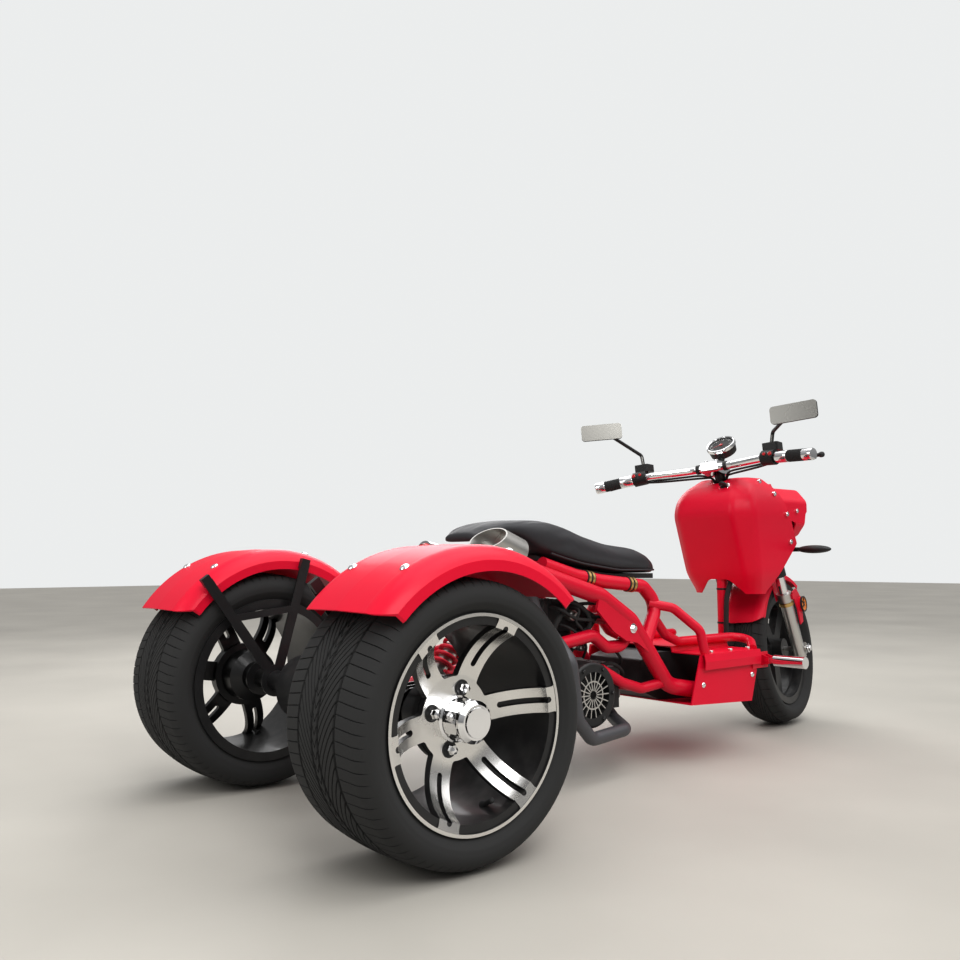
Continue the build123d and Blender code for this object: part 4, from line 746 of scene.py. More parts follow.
@dataclass
class Seat:
    """Long black seat with a raised tail, swelled as sewn vinyl over foam."""

    top_mm: tuple[tuple[float, float], ...] = (
        (364, 606), (385, 624), (420, 636), (480, 646), (562, 647), (640, 631), (720, 608), (830, 585),
        (935, 575), (990, 562), (1028, 540), (1047, 512))
    low_mm: tuple[tuple[float, float], ...] = (
        (364, 584), (400, 604), (430, 613), (494, 600), (548, 559), (620, 541), (690, 527), (846, 509),
        (1047, 508.5))
    half_mm: tuple[tuple[float, float], ...] = (
        (364, 54), (374, 74), (400, 82), (470, 89), (560, 119), (660, 116), (860, 97), (960, 95),
        (1010, 82), (1036, 58), (1047, 36))
    stations: int = 90
    ring: int = 48
    square: float = 0.46
    swell_cap_mm: float = 5.0
    ease_mm: float = 20.0
    bunch: float = 0.4
    least_half_mm: float = 3.0
    edge_dip_mm: float = 3.0
    voxel_m: float = 0.006
    base_normal_z: float = -0.35
    cloth_mass: float = 0.4
    cloth_stiffness: float = 25.0
    cloth_pressure: float = 4.0
    cloth_steps: int = 20
    welt_mm: tuple[float, float] = (570.0, 1040.0)
    welt_steps: int = 60
    welt_in_mm: float = 1.5
    welt_up_mm: float = 9.0
    welt_r_m: float = 0.0028

    def _smooth(self, table: Sequence[tuple[float, float]], x: float) -> float:
        """Value of a table with its corners rounded off."""
        return eased(table, x, self.ease_mm)

    def build(self) -> bpy.types.Object:
        """Builds the cushion in place of its plain solid.

        Returns:
            The piece, riding on the chassis.
        """
        soup = Soup()
        rows = []
        first, last = self.top_mm[0][0], self.top_mm[-1][0]
        for k in range(self.stations + 1):
            share = k / self.stations
            wave = 0.5 - 0.5 * math.cos(math.pi * share)
            x = first + (last - first) * (share * (1 - self.bunch) + wave * self.bunch)
            top, low, half = (self._smooth(t, x) for t in (self.top_mm, self.low_mm, self.half_mm))
            middle, rise = (top + low) / 2, max((top - low) / 2, self.least_half_mm)
            row = []
            for c in range(self.ring):
                a = math.tau * c / self.ring
                y = half * math.copysign(abs(math.cos(a)) ** self.square, math.cos(a))
                lift = math.copysign(abs(math.sin(a)) ** (self.square + 0.1), math.sin(a))
                dip = -self.edge_dip_mm * (y / half) ** 4 if lift > 0 else 0.0
                row.append(station(x, y, middle + rise * lift + dip))
            rows.append(row)
        soup.grid(rows, ends=True)
        piece = soup.piece("seat_cushion_vinyl", VINYL, 75)
        piece = self._swell(piece)
        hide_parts("seat_cushion")
        settle(piece, "chassis")
        self._piping()
        return piece

    def _swell(self, piece: bpy.types.Object) -> bpy.types.Object:
        """Swells the cover as cloth under pressure.

        Args:
            piece: The plain cover.

        Returns:
            The same object with the swelled mesh.
        """
        scene = bpy.context.scene
        remesh = piece.modifiers.new("even", "REMESH")
        remesh.mode = "VOXEL"
        remesh.voxel_size = self.voxel_m
        even = bpy.data.meshes.new_from_object(piece.evaluated_get(bpy.context.evaluated_depsgraph_get()))
        piece.modifiers.remove(remesh)
        piece.data = even
        rest = [v.co.copy() for v in even.vertices]
        held = piece.vertex_groups.new(name="base")
        held.add([v.index for v in even.vertices if v.normal.z < self.base_normal_z], 1.0, "REPLACE")
        cloth = piece.modifiers.new("cover", "CLOTH")
        cloth.settings.quality = 4
        cloth.settings.mass = self.cloth_mass
        cloth.settings.tension_stiffness = self.cloth_stiffness
        cloth.settings.compression_stiffness = self.cloth_stiffness
        cloth.settings.use_pressure = True
        cloth.settings.uniform_pressure_force = self.cloth_pressure
        cloth.settings.vertex_group_mass = "base"
        cloth.settings.effector_weights.gravity = 0
        for step in range(1, self.cloth_steps + 1):
            scene.frame_set(step)
        graph = bpy.context.evaluated_depsgraph_get()
        swelled = [v.co.copy() for v in piece.evaluated_get(graph).data.vertices]
        piece.modifiers.remove(cloth)
        scene.frame_set(1)
        for vertex, start, end in zip(piece.data.vertices, rest, swelled):
            move = end - start
            cap = self.swell_cap_mm * MM
            vertex.co = start + (move if move.length <= cap else move.normalized() * cap)
        piece.data.materials.clear()
        piece.data.materials.append(VINYL.material())
        piece.data.shade_smooth()
        soft = piece.modifiers.new("soft", "SMOOTH")
        soft.iterations = 6
        fine = piece.modifiers.new("fine", "SUBSURF")
        fine.levels = 1
        fine.render_levels = 1
        return piece

    def _piping(self) -> None:
        """Welt round the foot of the cushion on both sides."""
        welt = Soup()
        for side in SIDES:
            line = []
            for k in range(self.welt_steps + 1):
                x = self.welt_mm[0] + (self.welt_mm[1] - self.welt_mm[0]) * k / self.welt_steps
                y = side * (self._smooth(self.half_mm, x) - self.welt_in_mm)
                line.append(station(x, y, self._smooth(self.low_mm, x) + self.welt_up_mm))
            welt.pipe(line, self.welt_r_m, 8)
        settle(welt.piece("seat_welt", VINYL, 80), "chassis")


@dataclass
class Springs:
    """Coil springs on the two shock absorbers."""

    low_mm: tuple[float, float] = (128, 268)
    high_mm: tuple[float, float] = (322, 472)
    side_mm: float = 178.0
    from_mm: float = 52.0
    to_mm: float = 176.0
    coil_r_mm: float = 23.5
    wire_mm: float = 4.4
    turns: float = 6.5
    steps_a_turn: int = 28

    def build(self) -> None:
        """Builds both coils in place of the plain sleeves."""
        coils = Soup()
        along = Vector((self.high_mm[0] - self.low_mm[0], 0, self.high_mm[1] - self.low_mm[1])).normalized()
        u, v = square_to(along)
        steps = int(self.turns * self.steps_a_turn)
        rise = self.to_mm - self.from_mm - 2 * self.wire_mm
        for side in SIDES:
            foot = station(self.low_mm[0], side * self.side_mm, self.low_mm[1])
            line = []
            for k in range(steps + 1):
                angle = math.tau * self.turns * k / steps
                height = self.from_mm + self.wire_mm + rise * k / steps
                ring = (u * math.cos(angle) + v * math.sin(angle)) * (self.coil_r_mm * MM)
                line.append(foot + along * (height * MM) + ring)
            coils.pipe(line, self.wire_mm * MM, 10)
        piece = coils.piece("shock_coils", SPRING_RED, 60)
        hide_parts("shock_springs")
        settle(piece, "chassis")


class Head(Enum):
    """Shape of a fastener's head."""

    DOME = "dome"
    HEX = "hex"
    SOCKET = "socket"


@dataclass(frozen=True)
class Fastener:
    """One bolt head or rivet on the chassis or the front end."""

    at_mm: tuple[float, float, float]
    out: tuple[float, float, float]
    radius_mm: float
    head: Head


@dataclass
class Fasteners:
    """Bolt heads and rivets that show, joined by finish."""

    name: str
    body: str
    finish: Finish
    slot: str
    turned: bool
    rows: tuple[Fastener, ...]

    def build(self) -> None:
        """Builds all heads as one mesh."""
        heads = Soup()
        for row in self.rows:
            place = steered(*row.at_mm) if self.turned else station(*row.at_mm)
            out = Vector(row.out)
            if self.turned:
                out = STEER_TURN.to_3x3() @ out
            r = row.radius_mm * MM
            if row.head is Head.DOME:
                profile = [(r, -0.001), (r, r * 0.12), (r * 0.86, r * 0.34), (r * 0.55, r * 0.52),
                           (r * 0.15, r * 0.58)]
                heads.lathe(place, out, profile, 20)
            elif row.head is Head.HEX:
                heads.lathe(place, out, [(r * 1.45, -0.001), (r * 1.45, r * 0.16), (r * 1.2, r * 0.2)], 24)
                heads.lathe(place, out, [(r, 0), (r, r * 0.75), (r * 0.82, r * 0.9)], 6)
            else:
                profile = [(r, -0.001), (r, r * 0.85), (r * 0.88, r), (r * 0.5, r), (r * 0.45, r * 0.45)]
                heads.lathe(place, out, profile, 20)
        settle(heads.piece(self.name, self.finish, 28), self.body)


@dataclass
class Stage:
    """Floor, light and camera."""

    eye_mm: tuple[float, float, float] = (-1038.17, -1791.89, 542.94)
    yaw_deg: float = 50.598
    pitch_deg: float = 5.094
    roll_deg: float = -0.209
    lens_mm: float = 34.243
    sensor_mm: float = 36.0
    floor_half_m: float = 20.0
    floor_z_m: float = -0.0005
    backdrop: Colour = (0.78, 0.79, 0.79)
    glow_from_z: float = -0.2
    low_glow: float = 0.16
    high_glow: float = 0.62
    exposure: float = 0.14
    gamma: float = 0.84

    def build(self) -> None:
        """Builds the stage."""
        half, level = self.floor_half_m, self.floor_z_m
        corners = [(-half, -half, level), (half, -half, level), (half, half, level), (-half, half, level)]
        floor = mesh_piece("floor", corners, [(0, 1, 2, 3)], CONCRETE)
        self._camera()
        self._world()
        self._lamp("key", place=(-2.2, -3.4, 3.6), aim=(0, 0, 0.4), size=2.4, power=85)
        self._lamp("top", place=(0.4, 0.3, 4.2), aim=(0, 0, 0.3), size=4.0, power=60)
        self._sun(way=(-0.35, 0.45, -0.82), spread_deg=75.0, strength=1.25)
        self._lamp("rim", place=(1.8, 3.4, 2.6), aim=(0, 0, 0.4), size=2.5, power=55)
        self._lamp("back", place=(-4.2, 0.8, 2.2), aim=(-0.8, 0, 0.3), size=2.0, power=34)

    def _camera(self) -> None:
        """Camera at the viewpoint of the picture."""
        lens = bpy.data.cameras.new("camera")
        lens.sensor_width = self.sensor_mm
        lens.lens = self.lens_mm
        camera = bpy.data.objects.new("camera", lens)
        bpy.context.scene.collection.objects.link(camera)
        yaw, pitch = math.radians(self.yaw_deg), math.radians(self.pitch_deg)
        look = Vector((math.cos(pitch) * math.cos(yaw), math.cos(pitch) * math.sin(yaw), math.sin(pitch)))
        turn = look.to_track_quat("-Z", "Y").to_matrix().to_4x4()
        roll = Matrix.Rotation(math.radians(self.roll_deg), 4, "Z")
        camera.matrix_world = Matrix.Translation(station(*self.eye_mm)) @ turn @ roll
        bpy.context.scene.camera = camera

    def _world(self) -> None:
        """Pale backdrop, with surroundings that light the part softly from above."""
        world = bpy.data.worlds.new("studio")
        world.use_nodes = True
        nodes, links = world.node_tree.nodes, world.node_tree.links
        sky = nodes["Background"]
        sky.inputs["Strength"].default_value = 1.0
        way = nodes.new("ShaderNodeTexCoord")
        parts = nodes.new("ShaderNodeSeparateXYZ")
        links.new(way.outputs["Generated"], parts.inputs["Vector"])
        fall = nodes.new("ShaderNodeMapRange")
        fall.inputs["From Min"].default_value = self.glow_from_z
        fall.inputs["To Min"].default_value = self.low_glow
        fall.inputs["To Max"].default_value = self.high_glow
        links.new(parts.outputs["Z"], fall.inputs["Value"])
        path = nodes.new("ShaderNodeLightPath")
        seen = nodes.new("ShaderNodeMix")
        seen.data_type = "RGBA"
        seen.inputs["B"].default_value = (*self.backdrop, 1.0)
        links.new(path.outputs["Is Camera Ray"], seen.inputs["Factor"])
        links.new(fall.outputs["Result"], seen.inputs["A"])
        links.new(seen.outputs["Result"], sky.inputs["Color"])
        bpy.context.scene.world = world
        view = bpy.context.scene.view_settings
        view.view_transform = "Standard"
        view.exposure = self.exposure
        view.gamma = self.gamma

    @staticmethod
    def _sun(way: Point, spread_deg: float, strength: float) -> None:
        """Even light over the whole floor, soft as an overcast roof light.

        Args:
            way: Direction that the light travels.
            spread_deg: Angle that softens its shadows.
            strength: Its strength.
        """
        light = bpy.data.lights.new("roof_light", "SUN")
        light.energy = strength
        light.angle = math.radians(spread_deg)
        lamp = bpy.data.objects.new("roof_light", light)
        bpy.context.scene.collection.objects.link(lamp)
        lamp.matrix_world = Vector(way).to_track_quat("-Z", "Y").to_matrix().to_4x4()

    @staticmethod
    def _lamp(name: str, place: Point, aim: Point, size: float, power: float) -> None:
        """Soft square lamp.

        Args:
            name: Name of the lamp.
            place: Where it stands.
            aim: What it points at.
            size: Its side in metres.
            power: Its power in watts.
        """
        light = bpy.data.lights.new(name, "AREA")
        light.size = size
        light.energy = power
        lamp = bpy.data.objects.new(name, light)
        bpy.context.scene.collection.objects.link(lamp)
        turn = (Vector(aim) - Vector(place)).to_track_quat("-Z", "Y").to_matrix().to_4x4()
        lamp.matrix_world = Matrix.Translation(Vector(place)) @ turn


@dataclass
class Solids:
    """Finishes of the solids that stay as they are."""

    plain: dict[str, Finish] = field(default_factory=lambda: {
        "frame_rails": RED_TUBE, "seat_rails": RED_TUBE, "frame_spine": RED_TUBE, "frame_gussets": RED_TUBE,
        "floor_guards": RED_TUBE, "cradle_tubes": RED_TUBE, "floorboard": RED, "floor_skirts": RED,
        "belly_pan": RED,
        "fuel_tank": BLACK_PLASTIC, "peg_brackets": RED_TUBE, "axle_housing": BLACK_STEEL,
        "shock_absorbers": SILVER,
        "swing_arm": RED_TUBE, "engine": ENGINE_GREY, "drive_case": BLACK_PLASTIC, "air_box": BLACK_PLASTIC,
        "exhaust_pipe": EXHAUST, "muffler": SATIN, "rear_fenders": RED, "fender_stays": BLACK_STEEL,
        "seat_pan": BLACK_PLASTIC, "front_shield": RED, "headlamp_hood": RED,
        "fork_yoke": BLACK_STEEL, "fork_tubes": CHROME, "fork_lowers": SILVER, "front_fender": RED,
        "brake_caliper": SILVER, "handlebar": CHROME, "right_foot_peg": CHROME, "left_foot_peg": CHROME,
        "switch_housings": BLACK_PLASTIC,
    })
    lamp_x_mm: float = 262.0
    head_lamp_x_mm: float = 1796.0
    fan_mm: tuple[float, float, float] = (655.0, -170.0, 208.0)
    grille_r_mm: float = 57.0
    tail_skin_m: float = 0.0004
    head_skin_m: float = 0.002
    grille_edge_mm: float = 0.5
    grille_depth_m: float = 0.0085
    glass_match: float = 0.985
    mirror_facings: tuple[Point, ...] = ((-1, -0.05, 0.06), (-0.85, -0.52, 0.06))

    def build(self) -> None:
        """Dresses the solids, with lenses, glass and bright parts by their faces."""
        for node, finish in self.plain.items():
            dress(node, finish)
        tail_x = station(self.lamp_x_mm, 0, 0).x
        dress("tail_lamp", CHROME, [(RED_LENS, lambda place, _: place.x < tail_x - self.tail_skin_m)])
        head_x = station(self.head_lamp_x_mm, 0, 0).x
        dress("headlamp", CHROME, [(CLEAR_LENS, lambda place, _: place.x > head_x - self.head_skin_m)])
        dress("mirrors", BLACK_PLASTIC, [(MIRROR, self._mirror_face)])
        fan = station(*self.fan_mm)
        dress("fan_cover", BLACK_PLASTIC, [(SILVER, lambda place, _: self._in_grille(place, fan))])
        dress("gauge", BLACK_PLASTIC, [(DIAL, self._dial_face)])
        dress("grips", GRIP)
        dress("reflector_brackets", RED_TUBE, [(AMBER, self._reflector)])

    def _mirror_face(self, _: Vector, normal: Vector) -> bool:
        """Whether a face is the glass of a mirror."""
        straight = STEER_TURN.inverted().to_3x3() @ normal
        facings = (Vector(facing).normalized() for facing in self.mirror_facings)
        return any(straight.dot(facing) > self.glass_match for facing in facings)

    def _in_grille(self, place: Vector, fan: Vector) -> bool:
        """Whether a face belongs to the bars of the fan grille."""
        radius = math.hypot(place.x - fan.x, place.z - fan.z)
        inside = radius < (self.grille_r_mm - self.grille_edge_mm) * MM
        return inside and place.y < fan.y + self.grille_depth_m

    @staticmethod
    def _dial_face(_: Vector, normal: Vector) -> bool:
        """Whether a face of the gauge is its dial."""
        straight = STEER_TURN.inverted().to_3x3() @ normal
        return straight.dot(Vector(GAUGE_FACING).normalized()) > 0.99

    @staticmethod
    def _reflector(place: Vector, _: Vector) -> bool:
        """Whether a face is the round reflector's front."""
        straight = STEER_TURN.inverted() @ (place - STEER_AT) + STEER_AT
        return abs(straight.y) > 0.1345


@dataclass
class Cowl:
    """Softly rounded cowl in place of its plain solid, with its key switch."""

    sections_mm: tuple[tuple[float, float, float, float, float], ...] = (
        # height, back edge x, back half width, corner x, side half width
        (438, 1448, 84, 1466, 120), (500, 1414, 104, 1440, 141), (690, 1354, 104, 1400, 156),
        (734, 1362, 100, 1405, 149), (766, 1386, 92, 1424, 135), (788, 1416, 80, 1446, 114),
        (806, 1454, 60, 1470, 88))
    front_mm: tuple[tuple[float, float], ...] = ((442, 1496), (596, 1640), (790, 1540), (806, 1532))
    ease_mm: float = 15.0
    wall_mm: float = 3.0
    arch_mm: tuple[tuple[float, float], ...] = ((112, 400), (82, 440), (52, 470), (42, 479), (30, 483))
    arch_x_mm: tuple[float, float] = (1300.0, 1470.0)
    stem_hole_mm: float = 32.0
    stem_span_m: tuple[float, float] = (0.58, 0.69)
    corner_reach_mm: tuple[float, float] = (17.0, 15.0)
    corner_share: float = 0.42
    row_mm: float = 8.0
    row_count: int = 46
    brow_mm: Profile = ((801, 0.6), (804, 2.2), (806, 6.0))
    sharp_deg: float = 40.0
    ring_profile: Profile = ((0.0185, -0.010), (0.0185, 0.0015), (0.0165, 0.0035), (0.0125, 0.0030),
                             (0.0120, 0.0))
    barrel_profile: Profile = ((0.0115, -0.002), (0.0115, 0.0015), (0.0100, 0.0022))
    bow_profile: Profile = ((0.0120, -0.0035), (0.0130, -0.002), (0.0130, 0.002), (0.0120, 0.0035))
    bow_out_m: float = 0.012
    key_mm: tuple[float, float, float] = (1399.0, -49.0, 776.0)
    key_out: tuple[float, float, float] = (-0.80, -0.06, 0.60)

    def value(self, column: int, height: float) -> float:
        """One column of the section table at a height, with its steps rounded off."""
        return eased([(row[0], row[column]) for row in self.sections_mm], height, self.ease_mm)

    def _outline(self, height: float, inset: float) -> list[Vector]:
        """Plan outline at one height, from the left front edge round the back to the right front edge."""
        back, back_half = self.value(1, height) + inset, self.value(2, height) - inset * 0.6
        corner, half = self.value(3, height) + inset, self.value(4, height) - inset
        front = along_table(self.front_mm, height)
        stops = [Vector((front, half)), Vector((corner, half)), Vector((back, back_half)),
                 Vector((back, 0))]
        points = [stops[0].lerp(stops[1], share) for share in (0, 0.2, 0.4, 0.55)]
        for before, turn, after, reach in zip(stops, stops[1:], stops[2:], self.corner_reach_mm):
            start = turn + (before - turn).normalized() * min(reach,
                                                              (before - turn).length * self.corner_share)
            end = turn + (after - turn).normalized() * min(reach, (after - turn).length * self.corner_share)
            for k in range(9):
                points.append(start.lerp(turn, k / 8).lerp(turn.lerp(end, k / 8), k / 8))
        points += [stops[2].lerp(stops[3], share) for share in (0.5, 0.75)]
        left = [station(p.x, p.y, height) for p in points]
        right = [station(p.x, -p.y, height) for p in reversed(points)]
        return left + [station(back, 0, height)] + right

    def build(self) -> bpy.types.Object:
        """Builds the shell and the key switch.

        Returns:
            The shell, riding on the chassis.
        """
        soup = Soup()
        foot = self.sections_mm[0][0]
        heights = [*((foot + self.row_mm * k, 0.0) for k in range(self.row_count)), *self.brow_mm]
        rows = [self._outline(height, inset) for height, inset in heights]
        soup.grid(rows, around=False)
        width = len(rows[0])
        soup.faces.append([(len(rows) - 1) * width + c for c in range(width)])
        piece = soup.piece("front_cowl_shell", RED, self.sharp_deg)
        wall = piece.modifiers.new("wall", "SOLIDIFY")
        wall.thickness = self.wall_mm * MM
        wall.offset = 0.0
        cutters = [self._arch(), self._stem_hole()]
        for cutter in cutters:
            bite = piece.modifiers.new("bite", "BOOLEAN")
            bite.operation = "DIFFERENCE"
            bite.solver = "EXACT"
            bite.object = cutter
        graph = bpy.context.evaluated_depsgraph_get()
        shaped = bpy.data.meshes.new_from_object(piece.evaluated_get(graph))
        piece.modifiers.clear()
        piece.data = shaped
        for cutter in cutters:
            bpy.data.objects.remove(cutter)
        shaped.shade_smooth()
        shaped.set_sharp_from_angle(angle=math.radians(self.sharp_deg))
        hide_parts("front_cowl")
        settle(piece, "chassis")
        self._key()
        return piece

    def _arch(self) -> bpy.types.Object:
        """Cutter of the opening round the down tube."""
        outline = [*self.arch_mm, *((-y, z) for y, z in reversed(self.arch_mm))]
        soup = Soup()
        soup.grid([[station(x, y, z) for y, z in outline] for x in self.arch_x_mm], ends=True)
        return soup.piece("arch_cutter", RED)

    def _stem_hole(self) -> bpy.types.Object:
        """Cutter of the hole for the steering stem."""
        soup = Soup()
        r = self.stem_hole_mm * MM
        soup.lathe(STEER_AT, STEER_UP, [(r, height) for height in self.stem_span_m], 40)
        return soup.piece("stem_cutter", RED)

    def _key(self) -> None:
        """Key switch with a bright ring and a black key."""
        place, out = station(*self.key_mm), Vector(self.key_out).normalized()
        ring, key = Soup(), Soup()
        ring.lathe(place, out, self.ring_profile, 32)
        key.lathe(place, out, self.barrel_profile, 28)
        key.lathe(place + out * self.bow_out_m, out.cross(Vector((0, 1, 0))), self.bow_profile, 20)
        settle(ring.piece("key_switch_ring", CHROME), "chassis")
        settle(key.piece("key", BLACK_PLASTIC), "chassis")


@dataclass
class Signals:
    """Leaf-shaped front signals in place of their plain solids, each on a short stem."""

    middle_mm: tuple[float, float, float] = (1650.0, 204.0, 578.0)
    half_mm: tuple[float, float, float] = (24.0, 58.0, 13.0)
    stem_mm: tuple[float, float, float] = (98.0, 160.0, 7.0)
    foot_mm: tuple[tuple[float, float], ...] = ((1644, 574), (1658, 574), (1658, 629), (1644, 608))
    foot_y_mm: tuple[float, float] = (80.0, 100.0)
    tilts_deg: range = range(-80, 81, 10)
    lens_ahead_mm: float = 6.0
    lens_share: float = 0.82
    ring: int = 24

    def build(self) -> None:
        """Builds both lamps, their lenses and their stems."""
        body, lens = Soup(), Soup()
        x, _, z = self.middle_mm
        for side in SIDES:
            body.grid([self._ring(side, tilt, 0.0, 1.0) for tilt in self.tilts_deg], ends=True)
            lens.grid([self._ring(side, tilt, self.lens_ahead_mm,
                                  self.lens_share) for tilt in self.tilts_deg],
                      ends=True)
            body.pipe([station(x, side * self.stem_mm[0], z), station(x, side * self.stem_mm[1], z)],
                      self.stem_mm[2] * MM, 16)
            body.grid([[station(u, side * v, w) for u, w in self.foot_mm] for v in self.foot_y_mm],
                      ends=True)
        shell = body.piece("front_signal_bodies", BLACK_PLASTIC, 40)
        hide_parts("front_signals")
        settle(shell, "chassis")
        settle(lens.piece("front_signal_lenses", AMBER, 40), "chassis")

    def _ring(self, side: int, tilt_deg: int, ahead: float, share: float) -> list[Vector]:
        """One oval ring of a lamp, by its angle along the lamp's length."""
        x, y, z = self.middle_mm
        wide, long, tall = (size * share for size in self.half_mm)
        lean, slim = math.sin(math.radians(tilt_deg)), math.cos(math.radians(tilt_deg))
        row = []
        for k in range(self.ring):
            turn = math.tau * k / self.ring
            ahead_mm = x + ahead + wide * slim * math.cos(turn)
            row.append(station(ahead_mm, side * (y + long * lean), z + tall * slim * math.sin(turn)))
        return row


@dataclass
class Bar:
    """What sits on the handlebar: grip ends and sleeves, spacer rings, buttons and cables."""

    end_mm: tuple[float, float, float] = (1272.0, 352.0, 814.0)
    bend_mm: tuple[float, float, float] = (1322.0, 190.0, 833.0)
    middle_mm: tuple[float, float, float] = (1389.0, 0.0, 839.0)
    housing_run_mm: float = 141.0
    spacer_y_mm: tuple[float, ...] = (-46.0, 46.0)
    end_profile: Profile = ((0.0100, -0.0115), (0.0165, -0.0105), (0.0181, -0.007), (0.0181, 0.018),
                            (0.0172, 0.021))
    collar_profile: Profile = ((0.0171, 0.074), (0.0180, 0.076), (0.0180, 0.113), (0.0171, 0.116))
    knob_profile: Profile = ((0.003, -0.008), (0.0078, -0.005), (0.0086, 0.0), (0.0078, 0.005),
                             (0.003, 0.008))
    spacer_profile: Profile = ((0.0122, -0.006), (0.0152, -0.005), (0.0152, 0.005), (0.0122, 0.006))
    ribs: int = 9
    rib_first_m: float = 0.026
    rib_pitch_m: float = 0.0055
    button_facing: Point = (-0.93, 0, 0.36)
    button_out_m: float = 0.0215
    # run along the bar, radius
    buttons_m: Profile = ((-0.011, 0.0062), (0.010, 0.0050))
    lever_r_m: float = 0.0056
    cable_r_m: float = 0.0034
    # drop, shift ahead
    cables_mm: Profile = ((0.0, 0.0), (-7.0, 12.0))
    lever_mm: tuple[tuple[float, float, float], ...] = (
        (1330, 205, 828), (1356, 232, 827), (1358, 285, 823), (1338, 345, 818), (1327, 366, 816))

    def build(self) -> None:
        """Builds the fittings, joined by finish."""
        bright, rubber, black, red = Soup(), Soup(), Soup(), Soup()
        turn = STEER_TURN.to_3x3()
        for side in SIDES:
            end = steered(self.end_mm[0], side * self.end_mm[1], self.end_mm[2])
            along = (steered(self.bend_mm[0], side * self.bend_mm[1], self.bend_mm[2]) - end).normalized()
            bright.lathe(end, along, self.end_profile, 28)
            bright.lathe(end, along, self.collar_profile, 28)
            for k in range(self.ribs):
                run = self.rib_first_m + self.rib_pitch_m * k
                rubber.lathe(end, along, band(0.0168, rise=0.0012, half=0.0018, flat=0.0010, middle=run),
                             28)
            housing = end + along * (self.housing_run_mm * MM)
            face = turn @ Vector(self.button_facing)
            for step, pad in self.buttons_m:
                spot = housing + along * step + face * self.button_out_m
                black.lathe(spot, face, [(pad * 1.5, -0.003), (pad * 1.5, 0.0022), (pad * 1.2, 0.0030)], 20)
                red.lathe(spot, face, [(pad, 0.0), (pad, 0.0052), (pad * 0.8, 0.0062)], 20)
            lever = [steered(x, side * y, z) for x, y, z in self.lever_mm]
            black.pipe(flowing(lever), self.lever_r_m, 12)
            black.lathe(lever[-1], lever[-1] - lever[-2], self.knob_profile, 16)
            for drop, shift in self.cables_mm:
                route = [(1340, 222, 826 + drop), (1368, 168, 823 + drop), (1392 + shift, 100, 823 + drop),
                         (1412 + shift, 50, 822 + drop), (1438 + shift / 2, 26, 812),
                         (1452, 18, 786)]
                black.pipe(flowing([steered(x, side * y, z) for x, y, z in route]), self.cable_r_m, 8)
        for y in self.spacer_y_mm:
            place = steered(self.middle_mm[0], y, self.middle_mm[2])
            black.lathe(place, turn @ Vector((0, 1, 0)), self.spacer_profile, 28)
        settle(bright.piece("grip_bright_ends", CHROME), "steering")
        settle(rubber.piece("grip_ribs", GRIP), "steering")
        settle(black.piece("bar_fittings", BLACK_PLASTIC), "steering")
        settle(red.piece("bar_buttons", RED_LENS), "steering")


@dataclass
class Reflectors:
    """Black rims and ribs on the round amber reflectors of the fork."""

    at_mm: tuple[float, float, float] = (1700.0, 135.2, 388.0)
    rib_half_mm: tuple[float, float] = (20.5, 1.3)
    rib_turns_deg: tuple[float, ...] = (0.0, 60.0, 120.0)
    rim_profile: Profile = ((0.0218, -0.004), (0.0218, 0.0008), (0.0235, 0.0020), (0.0258, 0.0012),
                            (0.0258, -0.004))
    rib_foot_m: float = -0.001
    rib_top_m: float = 0.0009

    def build(self) -> None:
        """Builds the rims and ribs of both sides as one mesh."""
        soup = Soup()
        turn = STEER_TURN.to_3x3()
        x, y, z = self.at_mm
        long, slim = (size * MM for size in self.rib_half_mm)
        foot, top = self.rib_foot_m, self.rib_top_m
        section = ((-slim, foot), (-slim, top), (slim, top), (slim, foot))
        for side in SIDES:
            centre, out = steered(x, side * y, z), turn @ Vector((0, side, 0))
            soup.lathe(centre, out, self.rim_profile, 40)
            for angle in self.rib_turns_deg:
                spin = Matrix.Rotation(math.radians(angle), 3, out)
                along, across = spin @ Vector((0, 0, 1)), spin @ out.cross(Vector((0, 0, 1)))
                rows = [[centre + along * u + across * v + out * w for v, w in section] for u in (-long,
                                                                                                  long)]
                soup.grid(rows, ends=True)
        settle(soup.piece("reflector_rims", BLACK_PLASTIC), "steering")


